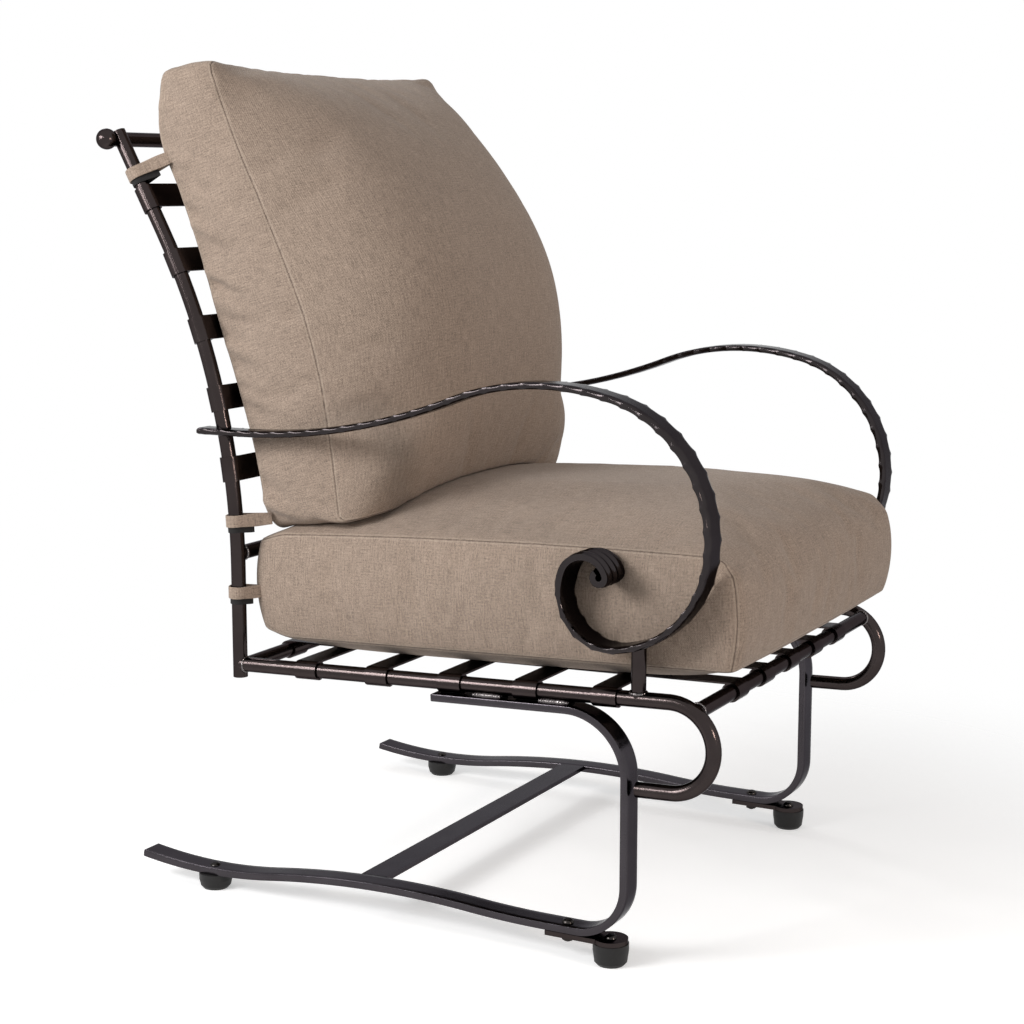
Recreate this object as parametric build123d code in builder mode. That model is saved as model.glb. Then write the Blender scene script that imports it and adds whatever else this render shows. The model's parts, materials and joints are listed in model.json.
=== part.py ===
"""Spring base lounge chair: bent steel frame on two flat spring bars, with boxed seat and back cushions.

Millimetres. The chair faces -Y, +X is the sitter's left, +Z is up. The origin is on the floor under the middle
of the chair's overall width and depth.
"""

import os
from math import cos, radians, sin

from build123d import *

# Tube and bar stock
TUBE_OD = 19.0
TUBE_WALL = 1.6
BAR_WIDTH = 31.75
BAR_THICKNESS = 9.5
STRAP_WIDTH = 32.0
STRAP_THICKNESS = 2.4
STRAP_FIT = 0.2
BODY_GAP = 0.35

# Seat frame: side rails with their front loops, and the cross tubes
FRAME_HALF = 301.0
UPRIGHT_Y = 246.0
RAIL_REAR_Z = 309.5
RAIL_TILT = 2.1
RAIL_RUN = 607.0
LOOP_RADIUS = 54.5
LOOP_TURN = 180.0
LOOP_RETURN = 44.0
FRONT_RAIL_TURN = 36.0
REAR_RAIL_DROP = 3.0
PLUG_THICKNESS = 4.0
PLUG_FIT = 0.1

# Uprights and the back
UPRIGHT_FOOT = 16.5
BACK_STRAIGHT = 147.0
BACK_RADIUS = 900.0
BACK_LEAN = 28.2
BACK_TOP_RUN = 143.0
TOP_RAIL_FROM_END = 6.0
TOP_RAIL_SETBACK = 9.0
LOWER_RAIL_RUN = 162.0
FINIAL_RADIUS = 13.5
FINIAL_OVERHANG = 17.0
SPIGOT_LENGTH = 12.0
BACK_STRAP_COUNT = 5
BACK_STRAP_OVER_RAIL = 110.0
BACK_STRAP_UNDER_END = 97.0

# Seat straps
CROSS_STRAP_COUNT = 5
CROSS_STRAP_FIRST = 107.0
CROSS_STRAP_FROM_LOOP = 80.0
LONG_STRAP_COUNT = 5
LONG_STRAP_FROM_SIDE = 125.0

# Arms: runs and bends from the rear end to the rolled eye
ARM_WIDTH = 31.75
ARM_THICKNESS = 8.5
ARM_OUTSET = 11.0
ARM_PAST_UPRIGHT = 25.5
ARM_REAR_Z = 614.0
ARM_STRAIGHT = 62.0
ARM_BENDS = ((865.0, -21.0), (342.0, 36.0), (164.0, 82.0), (129.0, 76.0), (64.0, 97.0))
SCROLL_BENDS = ((64.0, 26.0), (30.0, 136.0), (8.0, 250.0))
FLARE_WIDTH = 49.0
FLARE_RUN = 38.0
POST_DIAMETER = 18.0
POST_SETBACK = 568.0

# Spring bars, brace and feet
LEG_Y = -310.5
PLATE_REAR_RUN = 294.0
TOP_BEND_RADIUS = 77.0
FOOT_BEND_RADIUS = 63.0
RUNNER_FLAT = 46.0
RISE_RADIUS = 1274.0
RISE_ANGLE = 4.5
CREST_RADIUS = 1375.0
FALL_ANGLE = 8.0
TAIL_RADIUS = 688.0
TAIL_ANGLE = 9.0
BRACE_WIDTH = 38.1
BRACE_THICKNESS = 6.0
BRACE_PAST_CREST = 48.0
FOOT_PLATE_THICKNESS = 6.0
FOOT_PLATE_TAIL = 24.0
FOOT_PAD_DIAMETER = 42.0
FOOT_SCREW_Y = -231.0
GLIDE_REACH = 57.4
GLIDE_DIAMETER = 44.0
GLIDE_HEIGHT = 27.0
GLIDE_SOLE_DIAMETER = 33.0
GLIDE_HEEL_DIAMETER = 40.0
GLIDE_HEEL_HEIGHT = 4.0
GLIDE_COLLAR = 9.0
SCREW_DIAMETER = 8.0
SCREW_FIT = 0.3
SCREW_HEAD_DIAMETER = 15.0
SCREW_HEAD_HEIGHT = 4.0
NUT_ACROSS_FLATS = 13.0
NUT_HEIGHT = 6.5
NUT_FIT = 0.05
SCREW_POINT = 2.0
GLIDE_SCREW_DEPTH = 12.0
SPOT_FACE = 1.5

# Welds between the spring bars and the side rails
WELD_LENGTH = 38.0
WELD_FROM_STRAP = 3.0
WELD_RADIUS = 3.5
WELD_SPREAD = 8.0

# Seat cushion, in the deck's own directions: run forward from the uprights, height over the rail axis
CUSHION_SIDE_ROOM = 21.0
SEAT_SIDE_BULGE = 6.0
SEAT_REAR = 30.0
SEAT_FRONT = 673.0
SEAT_LOW_SEAM = 34.0
SEAT_TOP_SEAM = 169.0
SEAT_CROWN = 43.0
SEAT_EDGE_CROWN = 6.0
SEAT_TOP_FORM = ((0.86, 0.57), (0.45, 0.97), (-0.45, 0.97), (-0.86, 0.57))
SEAT_END_BULGE = 14.0
CUSHION_CAP_INSET = 26.0

# Back cushion: its corners along an upright and forward of it, and how far its faces swell
BACK_SIDE_BULGE = 6.0
BACK_REAR_TOP = (-8.0, 43.8)
BACK_FRONT_TOP = (-0.3, 150.1)
BACK_FRONT_FOOT = (197.0, 143.6)
BACK_REAR_FOOT = (191.6, 28.1)
BACK_STRAP_ROOM = 2.8
BACK_FOOT_BOW = 6.0
BACK_TOP_BOW = 30.0
BACK_FOOT_SWELL = 44.0
BACK_FRONT_FORM = (
    (0.05, 4.0, 70.0),
    (0.18, 15.0, 114.0),
    (0.40, 29.0, 130.0),
    (0.63, 32.0, 118.0),
    (0.82, 20.0, 95.0),
    (0.95, 6.0, 66.0),
)

# Cushion covers and ties
COVER_THICKNESS = 2.0
COVER_FIT = 0.7
TIE_WIDTH = 20.0
TIE_THICKNESS = 2.0
TIE_PAD = 1.2
TIE_FIT = 0.3
TIE_END_RADIUS = 6.0
SEAT_TIE_RUN = 112.0
LOWER_TIE_RUN = 205.0
UPPER_TIE_FROM_END = 61.0
SEAT_TIE_REACH = (14.0, 34.0)
LOWER_TIE_REACH = (16.0, 48.0)
UPPER_TIE_REACH = (16.0, 66.0)

TUBE_R = TUBE_OD / 2
STRAP_OUTER = TUBE_R + STRAP_FIT + STRAP_THICKNESS
ARM_CENTRE = FRAME_HALF + ARM_OUTSET
SEAT_HALF = FRAME_HALF - CUSHION_SIDE_ROOM
BACK_HALF = SEAT_HALF
SIDES = (("left", 1), ("right", -1))
TILT = radians(RAIL_TILT)


def deck(run, height):
    """Point (y, z) by its run forward of the uprights along a side rail, and its height over the rail's axis."""
    y = UPRIGHT_Y - run * cos(TILT) + height * sin(TILT)
    z = RAIL_REAR_Z + run * sin(TILT) + height * cos(TILT)
    return (y, z)


def save(part, name):
    """Label a finished piece and write it."""
    part.label = name
    export_step(part, f"parts/{name}.step")


def bent_edges(start, heading, bends, shift=0.0):
    """Draw runs and tangent arcs in the open line builder; bends are (straight, radius, turn left in degrees).

    The whole line is moved to its left by shift. Returns the edges in order.
    """
    angle = radians(heading)
    point = (start[0] - shift * sin(angle), start[1] + shift * cos(angle))
    edges = []
    for straight, radius, turn in bends:
        if straight > 0:
            end = (point[0] + straight * cos(angle), point[1] + straight * sin(angle))
            edges.append(Line(point, end))
            point = end
        if radius == 0:
            continue
        side = 1 if turn > 0 else -1
        bend = radius - side * shift
        edges.append(JernArc(start=point, tangent=(cos(angle), sin(angle)), radius=bend, arc_size=turn))
        after = angle + radians(turn)
        point = (
            point[0] + side * bend * (sin(after) - sin(angle)),
            point[1] - side * bend * (cos(after) - cos(angle)),
        )
        angle = after
    return edges


def bent_bar(x, start, heading, bends, thickness, width):
    """Bent flat bar, from its centre line in the plane at x."""
    with BuildPart() as bar:
        with BuildSketch(Plane.YZ.offset(x)):
            with BuildLine():
                left = bent_edges(start, heading, bends, thickness / 2)
                right = bent_edges(start, heading, bends, -thickness / 2)
                Line(left[0] @ 0, right[0] @ 0)
                Line(left[-1] @ 1, right[-1] @ 1)
            make_face()
        extrude(amount=width / 2, both=True)
    return bar.part


def bent_line(x, start, heading, bends):
    """Centre line of a bent piece that lies in the plane at x."""
    with BuildLine(Plane.YZ.offset(x)) as line:
        bent_edges(start, heading, bends)
    return line.line


def rod_along(path, radius, bore=0.0):
    """Round bar, or tube if it has a bore, along a path."""
    with BuildPart() as rod:
        with BuildSketch(Plane(origin=path @ 0, z_dir=path % 0)):
            Circle(radius)
            if bore > 0:
                Circle(bore, mode=Mode.SUBTRACT)
        sweep(path=path)
    return rod.part


def cross_tube(y, z, half, cutters):
    """Tube across the chair between the two side frames, coped to what it meets."""
    with BuildPart() as tube:
        with BuildSketch(Plane.YZ):
            with Locations((y, z)):
                Circle(TUBE_R)
                Circle(TUBE_R - TUBE_WALL, mode=Mode.SUBTRACT)
        extrude(amount=half, both=True)
        for cutter in cutters:
            add(cutter, mode=Mode.SUBTRACT)
    return tube.part


def chain_end(start, heading, bends):
    """Last point and heading of a bent line."""
    with BuildLine(Plane.YZ) as line:
        edges = bent_edges(start, heading, bends)
    return edges[-1] @ 1, edges[-1] % 1


# Lines of the side frame, for x = +FRAME_HALF or -FRAME_HALF
UPRIGHT_START = (UPRIGHT_Y, RAIL_REAR_Z - UPRIGHT_FOOT)
UPRIGHT_BENDS = ((BACK_STRAIGHT, BACK_RADIUS, -BACK_LEAN), (BACK_TOP_RUN, 0, 0))
RAIL_BENDS = ((RAIL_RUN, LOOP_RADIUS, LOOP_TURN), (LOOP_RETURN, 0, 0))
UPRIGHT_LENGTH = BACK_STRAIGHT + BACK_RADIUS * radians(BACK_LEAN) + BACK_TOP_RUN
arm_over_straight = ARM_REAR_Z - UPRIGHT_START[1] - BACK_STRAIGHT
upright_drift = BACK_RADIUS - (BACK_RADIUS**2 - arm_over_straight**2) ** 0.5
ARM_REAR_Y = UPRIGHT_Y + upright_drift + ARM_PAST_UPRIGHT
FRONT_TURN = radians(FRONT_RAIL_TURN)
FRONT_RAIL = deck(RAIL_RUN + LOOP_RADIUS * sin(FRONT_TURN), LOOP_RADIUS * (cos(FRONT_TURN) - 1))
REAR_RAIL = deck(0, -REAR_RAIL_DROP)


def upright_line(side):
    """Centre line of an upright, from its foot."""
    return bent_line(side * FRAME_HALF, UPRIGHT_START, 90, UPRIGHT_BENDS)


def upright_plane(side, run):
    """Plane across an upright at a run along it: x towards the middle, y towards the front, z along the tube."""
    line = upright_line(side)
    share = run / UPRIGHT_LENGTH
    return Plane(origin=line @ share, x_dir=(-side, 0, 0), z_dir=side * Vector(line % share))


def beside_upright(run, forward):
    """Point at a run along the left upright and a distance forward of its axis."""
    plane = upright_plane(1, run)
    front = plane.y_dir if plane.y_dir.Y < 0 else -plane.y_dir
    return plane.origin + front * forward


TOP_RAIL = beside_upright(UPRIGHT_LENGTH - TOP_RAIL_FROM_END, -TOP_RAIL_SETBACK)
FINIAL_X = FRAME_HALF + FINIAL_OVERHANG
TOP_RAIL_HALF = FINIAL_X - (FINIAL_RADIUS**2 - TUBE_R**2) ** 0.5

os.makedirs("parts", exist_ok=True)

# Solid rods with the tubes' outer sizes, to cope one tube to another
upright_rods = {name: rod_along(upright_line(side), TUBE_R) for name, side in SIDES}
rail_lines = {
    name: bent_line(side * FRAME_HALF, deck(0, 0), 180 - RAIL_TILT, RAIL_BENDS) for name, side in SIDES
}
rail_rods = {name: rod_along(rail_lines[name], TUBE_R) for name, side in SIDES}
with BuildPart() as top_rail_rod:
    with BuildSketch(Plane.YZ):
        with Locations((TOP_RAIL.Y, TOP_RAIL.Z)):
            Circle(TUBE_R)
    extrude(amount=TOP_RAIL_HALF, both=True)

# Uprights and side rails
for name, side in SIDES:
    upright_tube = rod_along(upright_line(side), TUBE_R, TUBE_R - TUBE_WALL)
    with BuildPart() as upright:
        add(upright_tube)
        add(top_rail_rod.part, mode=Mode.SUBTRACT)
    save(upright.part, f"upright_{name}")

    rail_tube = rod_along(rail_lines[name], TUBE_R, TUBE_R - TUBE_WALL)
    with BuildPart() as side_rail:
        add(rail_tube)
        add(upright_rods[name], mode=Mode.SUBTRACT)
    save(side_rail.part, f"side_rail_{name}")

# Plugs in the open ends of the uprights and of the loops
with BuildPart() as upright_foot_plugs:
    for name, side in SIDES:
        with BuildSketch(Plane(origin=upright_line(side) @ 0, z_dir=upright_line(side) % 0)):
            Circle(TUBE_R - TUBE_WALL - PLUG_FIT)
        extrude(amount=PLUG_THICKNESS)
save(upright_foot_plugs.part, "upright_foot_plugs")

with BuildPart() as upright_top_plugs:
    for name, side in SIDES:
        with BuildSketch(Plane(origin=upright_line(side) @ 1, z_dir=-(upright_line(side) % 1))):
            Circle(TUBE_R - TUBE_WALL - PLUG_FIT)
        extrude(amount=PLUG_THICKNESS)
    add(top_rail_rod.part, mode=Mode.SUBTRACT)
save(upright_top_plugs.part, "upright_top_plugs")

with BuildPart() as loop_end_plugs:
    for name, side in SIDES:
        with BuildSketch(Plane(origin=rail_lines[name] @ 1, z_dir=-(rail_lines[name] % 1))):
            Circle(TUBE_R - TUBE_WALL - PLUG_FIT)
        extrude(amount=PLUG_THICKNESS)
save(loop_end_plugs.part, "loop_end_plugs")

# Cross tubes
with BuildPart() as top_rail:
    with BuildSketch(Plane.YZ):
        with Locations((TOP_RAIL.Y, TOP_RAIL.Z)):
            Circle(TUBE_R)
            Circle(TUBE_R - TUBE_WALL, mode=Mode.SUBTRACT)
    extrude(amount=TOP_RAIL_HALF, both=True)
save(top_rail.part, "top_rail")

both_uprights = list(upright_rods.values())
both_rails = list(rail_rods.values())
lower_plane = upright_plane(1, LOWER_RAIL_RUN)
save(cross_tube(lower_plane.origin.Y, lower_plane.origin.Z, FRAME_HALF, both_uprights), "lower_back_rail")
save(cross_tube(*REAR_RAIL, FRAME_HALF, both_uprights + both_rails), "rear_seat_rail")
save(cross_tube(*FRONT_RAIL, FRAME_HALF, both_rails), "front_seat_rail")

# Finials: a ball on a spigot in each end of the top rail
with BuildPart() as finials:
    for name, side in SIDES:
        with BuildSketch(Plane(origin=(0, TOP_RAIL.Y, TOP_RAIL.Z), x_dir=(side, 0, 0), z_dir=(0, -1, 0))):
            with BuildLine():
                nose = (FINIAL_X + FINIAL_RADIUS, 0)
                crown = (FINIAL_X, FINIAL_RADIUS)
                seat = (TOP_RAIL_HALF, TUBE_R)
                spigot = TUBE_R - TUBE_WALL - PLUG_FIT
                RadiusArc(nose, crown, -FINIAL_RADIUS)
                RadiusArc(crown, seat, -FINIAL_RADIUS)
                Polyline(
                    seat,
                    (TOP_RAIL_HALF, spigot),
                    (TOP_RAIL_HALF - SPIGOT_LENGTH, spigot),
                    (TOP_RAIL_HALF - SPIGOT_LENGTH, 0),
                    nose,
                )
            make_face()
        revolve(axis=Axis((0, TOP_RAIL.Y, TOP_RAIL.Z), (1, 0, 0)))
    for rod in both_uprights:
        add(rod, mode=Mode.SUBTRACT)
save(finials.part, "finials")


def wrapped_strap(plane, span, width):
    """Flat band between two parallel tubes, wrapped round both.

    The plane sits on the first tube's axis, with x along the span, y along the tubes and z out of the band.
    """
    inner = TUBE_R + STRAP_FIT
    outer = inner + STRAP_THICKNESS
    with BuildPart() as strap:
        with BuildSketch(Plane(origin=plane.origin, x_dir=plane.x_dir, z_dir=-plane.y_dir)):
            with Locations((0, 0), (span, 0)):
                Circle(outer)
            with Locations((span / 2, (inner + outer) / 2)):
                Rectangle(span, STRAP_THICKNESS)
            with Locations((0, 0), (span, 0)):
                Circle(inner, mode=Mode.SUBTRACT)
        extrude(amount=width / 2, both=True)
    return strap.part


# Back straps across the front of the uprights, cross straps over the side rails, long straps under those
back_strap_first = LOWER_RAIL_RUN + BACK_STRAP_OVER_RAIL
back_strap_pitch = (UPRIGHT_LENGTH - BACK_STRAP_UNDER_END - back_strap_first) / (BACK_STRAP_COUNT - 1)
for number in range(BACK_STRAP_COUNT):
    plane = upright_plane(1, back_strap_first + number * back_strap_pitch)
    tube = Vector(plane.z_dir)
    outward = Vector(0, -tube.Z, tube.Y) if tube.Z > 0 else Vector(0, tube.Z, -tube.Y)
    across = Plane(origin=plane.origin, x_dir=(-1, 0, 0), z_dir=outward)
    save(wrapped_strap(across, 2 * FRAME_HALF, STRAP_WIDTH), f"back_strap_{number + 1}")

deck_normal = Vector(0, sin(TILT), cos(TILT))
cross_strap_pitch = (RAIL_RUN - CROSS_STRAP_FROM_LOOP - CROSS_STRAP_FIRST) / (CROSS_STRAP_COUNT - 1)
for number in range(CROSS_STRAP_COUNT):
    place = deck(CROSS_STRAP_FIRST + number * cross_strap_pitch, 0)
    across = Plane(origin=(FRAME_HALF, *place), x_dir=(-1, 0, 0), z_dir=deck_normal)
    save(wrapped_strap(across, 2 * FRAME_HALF, STRAP_WIDTH), f"seat_cross_strap_{number + 1}")

long_run = Vector(0, REAR_RAIL[0] - FRONT_RAIL[0], REAR_RAIL[1] - FRONT_RAIL[1])
long_normal = Vector(0, -long_run.Z, long_run.Y).normalized()
long_strap_pitch = 2 * (FRAME_HALF - LONG_STRAP_FROM_SIDE) / (LONG_STRAP_COUNT - 1)
for number in range(LONG_STRAP_COUNT):
    x = (number - (LONG_STRAP_COUNT - 1) / 2) * long_strap_pitch
    along = Plane(origin=(x, *FRONT_RAIL), x_dir=long_run.normalized(), z_dir=long_normal)
    save(wrapped_strap(along, long_run.length, STRAP_WIDTH), f"seat_long_strap_{number + 1}")

# Arms: a flat bar that ends in a flared, rolled eye, notched round the upright
ARM_MAIN = ((ARM_STRAIGHT, *ARM_BENDS[0]),) + tuple((0, *bend) for bend in ARM_BENDS[1:])
ARM_SCROLL = tuple((0, *bend) for bend in SCROLL_BENDS)
scroll_start, scroll_tangent = chain_end((ARM_REAR_Y, ARM_REAR_Z), 180, ARM_MAIN)
scroll_heading = 180 + sum(turn for radius, turn in ARM_BENDS)
low_turn = 180 - sum(turn for radius, turn in ARM_BENDS[:-1])
ARM_TO_LOW = ARM_MAIN[:-1] + ((0, ARM_BENDS[-1][0], low_turn),)
scroll_low, low_tangent = chain_end((ARM_REAR_Y, ARM_REAR_Z), 180, ARM_TO_LOW)
flare_front = scroll_start.Y - FLARE_RUN
eye_front = scroll_start.Y - sum(2 * radius for radius, turn in SCROLL_BENDS[:2])
for name, side in SIDES:
    x = side * ARM_CENTRE
    scroll_foot = (scroll_start.Y, scroll_start.Z)
    rolled = bent_bar(x, scroll_foot, scroll_heading, ARM_SCROLL, ARM_THICKNESS, FLARE_WIDTH)
    bowed = bent_bar(x, (ARM_REAR_Y, ARM_REAR_Z), 180, ARM_MAIN, ARM_THICKNESS, ARM_WIDTH)
    with BuildPart() as arm_scroll:
        add(rolled)
        with BuildSketch(Plane.XY):
            with BuildLine():
                near, wide = ARM_WIDTH / 2, FLARE_WIDTH / 2
                rear = scroll_start.Y + ARM_THICKNESS
                Polyline(
                    (x - near, rear),
                    (x - near, scroll_start.Y),
                    (x - wide, flare_front),
                    (x - wide, eye_front),
                    (x + wide, eye_front),
                    (x + wide, flare_front),
                    (x + near, scroll_start.Y),
                    (x + near, rear),
                    close=True,
                )
            make_face()
        extrude(amount=ARM_REAR_Z, mode=Mode.INTERSECT)
    with BuildPart() as arm:
        add(bowed)
        add(arm_scroll.part)
        add(upright_rods[name], mode=Mode.SUBTRACT)
    save(arm.part, f"arm_{name}")

    # Post from the side rail up to the underside of the scroll, coped at both ends
    post_foot = deck(POST_SETBACK, 0)
    overhead = bent_bar(x, (ARM_REAR_Y, ARM_REAR_Z), 180, ARM_MAIN, ARM_THICKNESS, 4 * POST_DIAMETER)
    with BuildPart() as arm_post:
        with BuildSketch(Plane.XY.offset(post_foot[1])):
            with Locations((side * FRAME_HALF, post_foot[0])):
                Circle(POST_DIAMETER / 2)
        extrude(amount=scroll_low.Z + ARM_THICKNESS / 2 - post_foot[1])
        add(overhead, mode=Mode.SUBTRACT)
        add(rail_rods[name], mode=Mode.SUBTRACT)
    save(arm_post.part, f"arm_post_{name}")

# Spring bars: plate under the side rail, leg, and runner on the floor, with the screw holes
PLATE_HEIGHT = -(STRAP_OUTER + BODY_GAP + BAR_THICKNESS / 2)
RUNNER_Z = GLIDE_HEIGHT + FOOT_PLATE_THICKNESS + BAR_THICKNESS / 2
bend_run = (UPRIGHT_Y - LEG_Y - TOP_BEND_RADIUS * (1 + sin(TILT)) + PLATE_HEIGHT * sin(TILT)) / cos(TILT)
bend_top_z = deck(bend_run, PLATE_HEIGHT)[1]
LEG_RUN = bend_top_z - TOP_BEND_RADIUS * cos(TILT) - FOOT_BEND_RADIUS - RUNNER_Z
BAR_START = deck(PLATE_REAR_RUN, PLATE_HEIGHT)
BAR_TO_CREST = (
    (bend_run - PLATE_REAR_RUN, TOP_BEND_RADIUS, 90 + RAIL_TILT),
    (LEG_RUN, FOOT_BEND_RADIUS, 90),
    (RUNNER_FLAT, RISE_RADIUS, RISE_ANGLE),
    (0, CREST_RADIUS, -RISE_ANGLE),
)
BAR_TO_TROUGH = BAR_TO_CREST + ((0, CREST_RADIUS, -FALL_ANGLE), (0, TAIL_RADIUS, FALL_ANGLE))
BAR_BENDS = BAR_TO_TROUGH + ((0, TAIL_RADIUS, TAIL_ANGLE),)
BAR_HEADING = 180 - RAIL_TILT
crest, crest_heading = chain_end(BAR_START, BAR_HEADING, BAR_TO_CREST)
trough, trough_heading = chain_end(BAR_START, BAR_HEADING, BAR_TO_TROUGH)
RUNNER_TOP = RUNNER_Z + BAR_THICKNESS / 2
FRONT_GLIDE_Y = FOOT_SCREW_Y - GLIDE_REACH
REAR_GLIDE_HEIGHT = trough.Z - BAR_THICKNESS / 2
SCREW_HOLE_R = SCREW_DIAMETER / 2 + SCREW_FIT

for name, side in SIDES:
    x = side * FRAME_HALF
    bar = bent_bar(x, BAR_START, BAR_HEADING, BAR_BENDS, BAR_THICKNESS, BAR_WIDTH)
    with BuildPart() as spring_bar:
        add(bar)
        with Locations((x, FOOT_SCREW_Y, RUNNER_Z), (x, trough.Y, trough.Z)):
            Cylinder(SCREW_HOLE_R, 2 * BAR_THICKNESS, mode=Mode.SUBTRACT)
        with Locations((x, trough.Y, trough.Z + BAR_THICKNESS)):
            Cylinder(SCREW_HEAD_DIAMETER / 2 + SCREW_FIT, BAR_THICKNESS + 2 * SPOT_FACE, mode=Mode.SUBTRACT)
    save(spring_bar.part, f"spring_bar_{name}")

    with BuildPart() as foot_plate:
        with BuildSketch(Plane.XY.offset(GLIDE_HEIGHT)):
            tail = FOOT_SCREW_Y + FOOT_PLATE_TAIL
            with Locations((x, (tail + FRONT_GLIDE_Y) / 2)):
                Rectangle(BAR_WIDTH, tail - FRONT_GLIDE_Y)
            with Locations((x, FRONT_GLIDE_Y)):
                Circle(FOOT_PAD_DIAMETER / 2)
            with Locations((x, FOOT_SCREW_Y), (x, FRONT_GLIDE_Y)):
                Circle(SCREW_HOLE_R, mode=Mode.SUBTRACT)
        extrude(amount=FOOT_PLATE_THICKNESS)
    save(foot_plate.part, f"foot_plate_{name}")

    for place, y, height in (("front", FRONT_GLIDE_Y, GLIDE_HEIGHT), ("rear", trough.Y, REAR_GLIDE_HEIGHT)):
        with BuildPart() as glide:
            with BuildSketch(Plane(origin=(x, y, 0), x_dir=(1, 0, 0), z_dir=(0, -1, 0))):
                with BuildLine():
                    Polyline(
                        (0, 0),
                        (GLIDE_SOLE_DIAMETER / 2, 0),
                        (GLIDE_HEEL_DIAMETER / 2, GLIDE_HEEL_HEIGHT),
                        (GLIDE_DIAMETER / 2, height - GLIDE_COLLAR),
                        (GLIDE_DIAMETER / 2, height),
                        (0, height),
                        close=True,
                    )
                make_face()
            revolve(axis=Axis((x, y, 0), (0, 0, 1)))
            with Locations((x, y, height)):
                bore_depth = GLIDE_SCREW_DEPTH + SCREW_POINT
                Cylinder(SCREW_DIAMETER / 2 + NUT_FIT, 2 * bore_depth, mode=Mode.SUBTRACT)
        save(glide.part, f"glide_{place}_{name}")


def screw(x, y, seat, length):
    """Round-headed screw that hangs down from its seat."""
    with BuildPart() as turned:
        with BuildSketch(Plane(origin=(x, y, seat), x_dir=(1, 0, 0), z_dir=(0, -1, 0))):
            with BuildLine():
                rim = (SCREW_HEAD_DIAMETER / 2, 0)
                crown = (SCREW_DIAMETER / 2, SCREW_HEAD_HEIGHT)
                top = (SCREW_HEAD_DIAMETER * 0.42, SCREW_HEAD_HEIGHT * 0.62)
                ThreePointArc(rim, top, crown)
                Polyline(
                    crown,
                    (0, SCREW_HEAD_HEIGHT),
                    (0, -length),
                    (SCREW_DIAMETER / 2 - SCREW_POINT / 2, -length),
                    (SCREW_DIAMETER / 2, -length + SCREW_POINT),
                    (SCREW_DIAMETER / 2, 0),
                    rim,
                )
            make_face()
        revolve(axis=Axis((x, y, seat), (0, 0, 1)))
    return turned.part


def both_sides(make):
    """One piece from the left and right copies of make(x)."""
    copies = [make(side * FRAME_HALF) for name, side in SIDES]
    with BuildPart() as pair:
        for copy in copies:
            add(copy)
    return pair.part


FOOT_GRIP = BAR_THICKNESS + FOOT_PLATE_THICKNESS + NUT_HEIGHT + SCREW_POINT
FRONT_GRIP = FOOT_PLATE_THICKNESS + GLIDE_SCREW_DEPTH
REAR_SEAT = trough.Z + BAR_THICKNESS / 2 - SPOT_FACE
REAR_GRIP = BAR_THICKNESS - SPOT_FACE + GLIDE_SCREW_DEPTH
FOOT_PLATE_TOP = GLIDE_HEIGHT + FOOT_PLATE_THICKNESS
save(both_sides(lambda x: screw(x, FOOT_SCREW_Y, RUNNER_TOP, FOOT_GRIP)), "foot_plate_screws")
front_screws = both_sides(lambda x: screw(x, FRONT_GLIDE_Y, FOOT_PLATE_TOP, FRONT_GRIP))
rear_screws = both_sides(lambda x: screw(x, trough.Y, REAR_SEAT, REAR_GRIP))
with BuildPart() as glide_screws:
    add(front_screws)
    add(rear_screws)
save(glide_screws.part, "glide_screws")

with BuildPart() as foot_plate_nuts:
    for name, side in SIDES:
        with BuildSketch(Plane.XY.offset(GLIDE_HEIGHT)):
            with Locations((side * FRAME_HALF, FOOT_SCREW_Y)):
                RegularPolygon(NUT_ACROSS_FLATS / 2, 6, major_radius=False)
                Circle(SCREW_DIAMETER / 2 + NUT_FIT, mode=Mode.SUBTRACT)
        extrude(amount=-NUT_HEIGHT)
save(foot_plate_nuts.part, "foot_plate_nuts")

# Brace between the runners, level with their upper faces just behind the crest
with BuildLine(Plane.YZ) as fall_line:
    fall = bent_edges((crest.Y, crest.Z), 0, ((0, CREST_RADIUS, -FALL_ANGLE),), BAR_THICKNESS / 2)[0]
brace_share = BRACE_PAST_CREST / fall.length
brace_normal = Vector(0, -(fall % brace_share).Z, (fall % brace_share).Y)
with BuildPart() as base_brace:
    with BuildSketch(Plane(origin=fall @ brace_share, x_dir=(1, 0, 0), z_dir=brace_normal)):
        Rectangle(2 * FRAME_HALF - BAR_WIDTH, BRACE_WIDTH)
    extrude(amount=-BRACE_THICKNESS)
save(base_brace.part, "base_brace")

# Welds under the side rails, between the wrapped straps, resting on the spring bars' plates
strap_four = CROSS_STRAP_FIRST + 3 * cross_strap_pitch
weld_runs = (
    strap_four - cross_strap_pitch / 2,
    strap_four + STRAP_WIDTH / 2 + WELD_FROM_STRAP + WELD_LENGTH / 2,
)
with BuildPart() as spring_bar_welds:
    plate_top = PLATE_HEIGHT + BAR_THICKNESS / 2 + BODY_GAP
    for name, side in SIDES:
        for run in weld_runs:
            for edge in (-1, 1):
                x = side * FRAME_HALF + edge * WELD_SPREAD
                foot = deck(run - WELD_LENGTH / 2, plate_top)
                plane = Plane(origin=(x, *foot), x_dir=(1, 0, 0), z_dir=(0, -cos(TILT), sin(TILT)))
                with BuildSketch(plane):
                    Circle(WELD_RADIUS, mode=Mode.ADD)
                    with Locations((0, WELD_RADIUS)):
                        Rectangle(2 * WELD_RADIUS, 2 * WELD_RADIUS, mode=Mode.INTERSECT)
                extrude(amount=WELD_LENGTH)
    for rod in both_rails:
        add(rod, mode=Mode.SUBTRACT)
save(spring_bar_welds.part, "spring_bar_welds")


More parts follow.
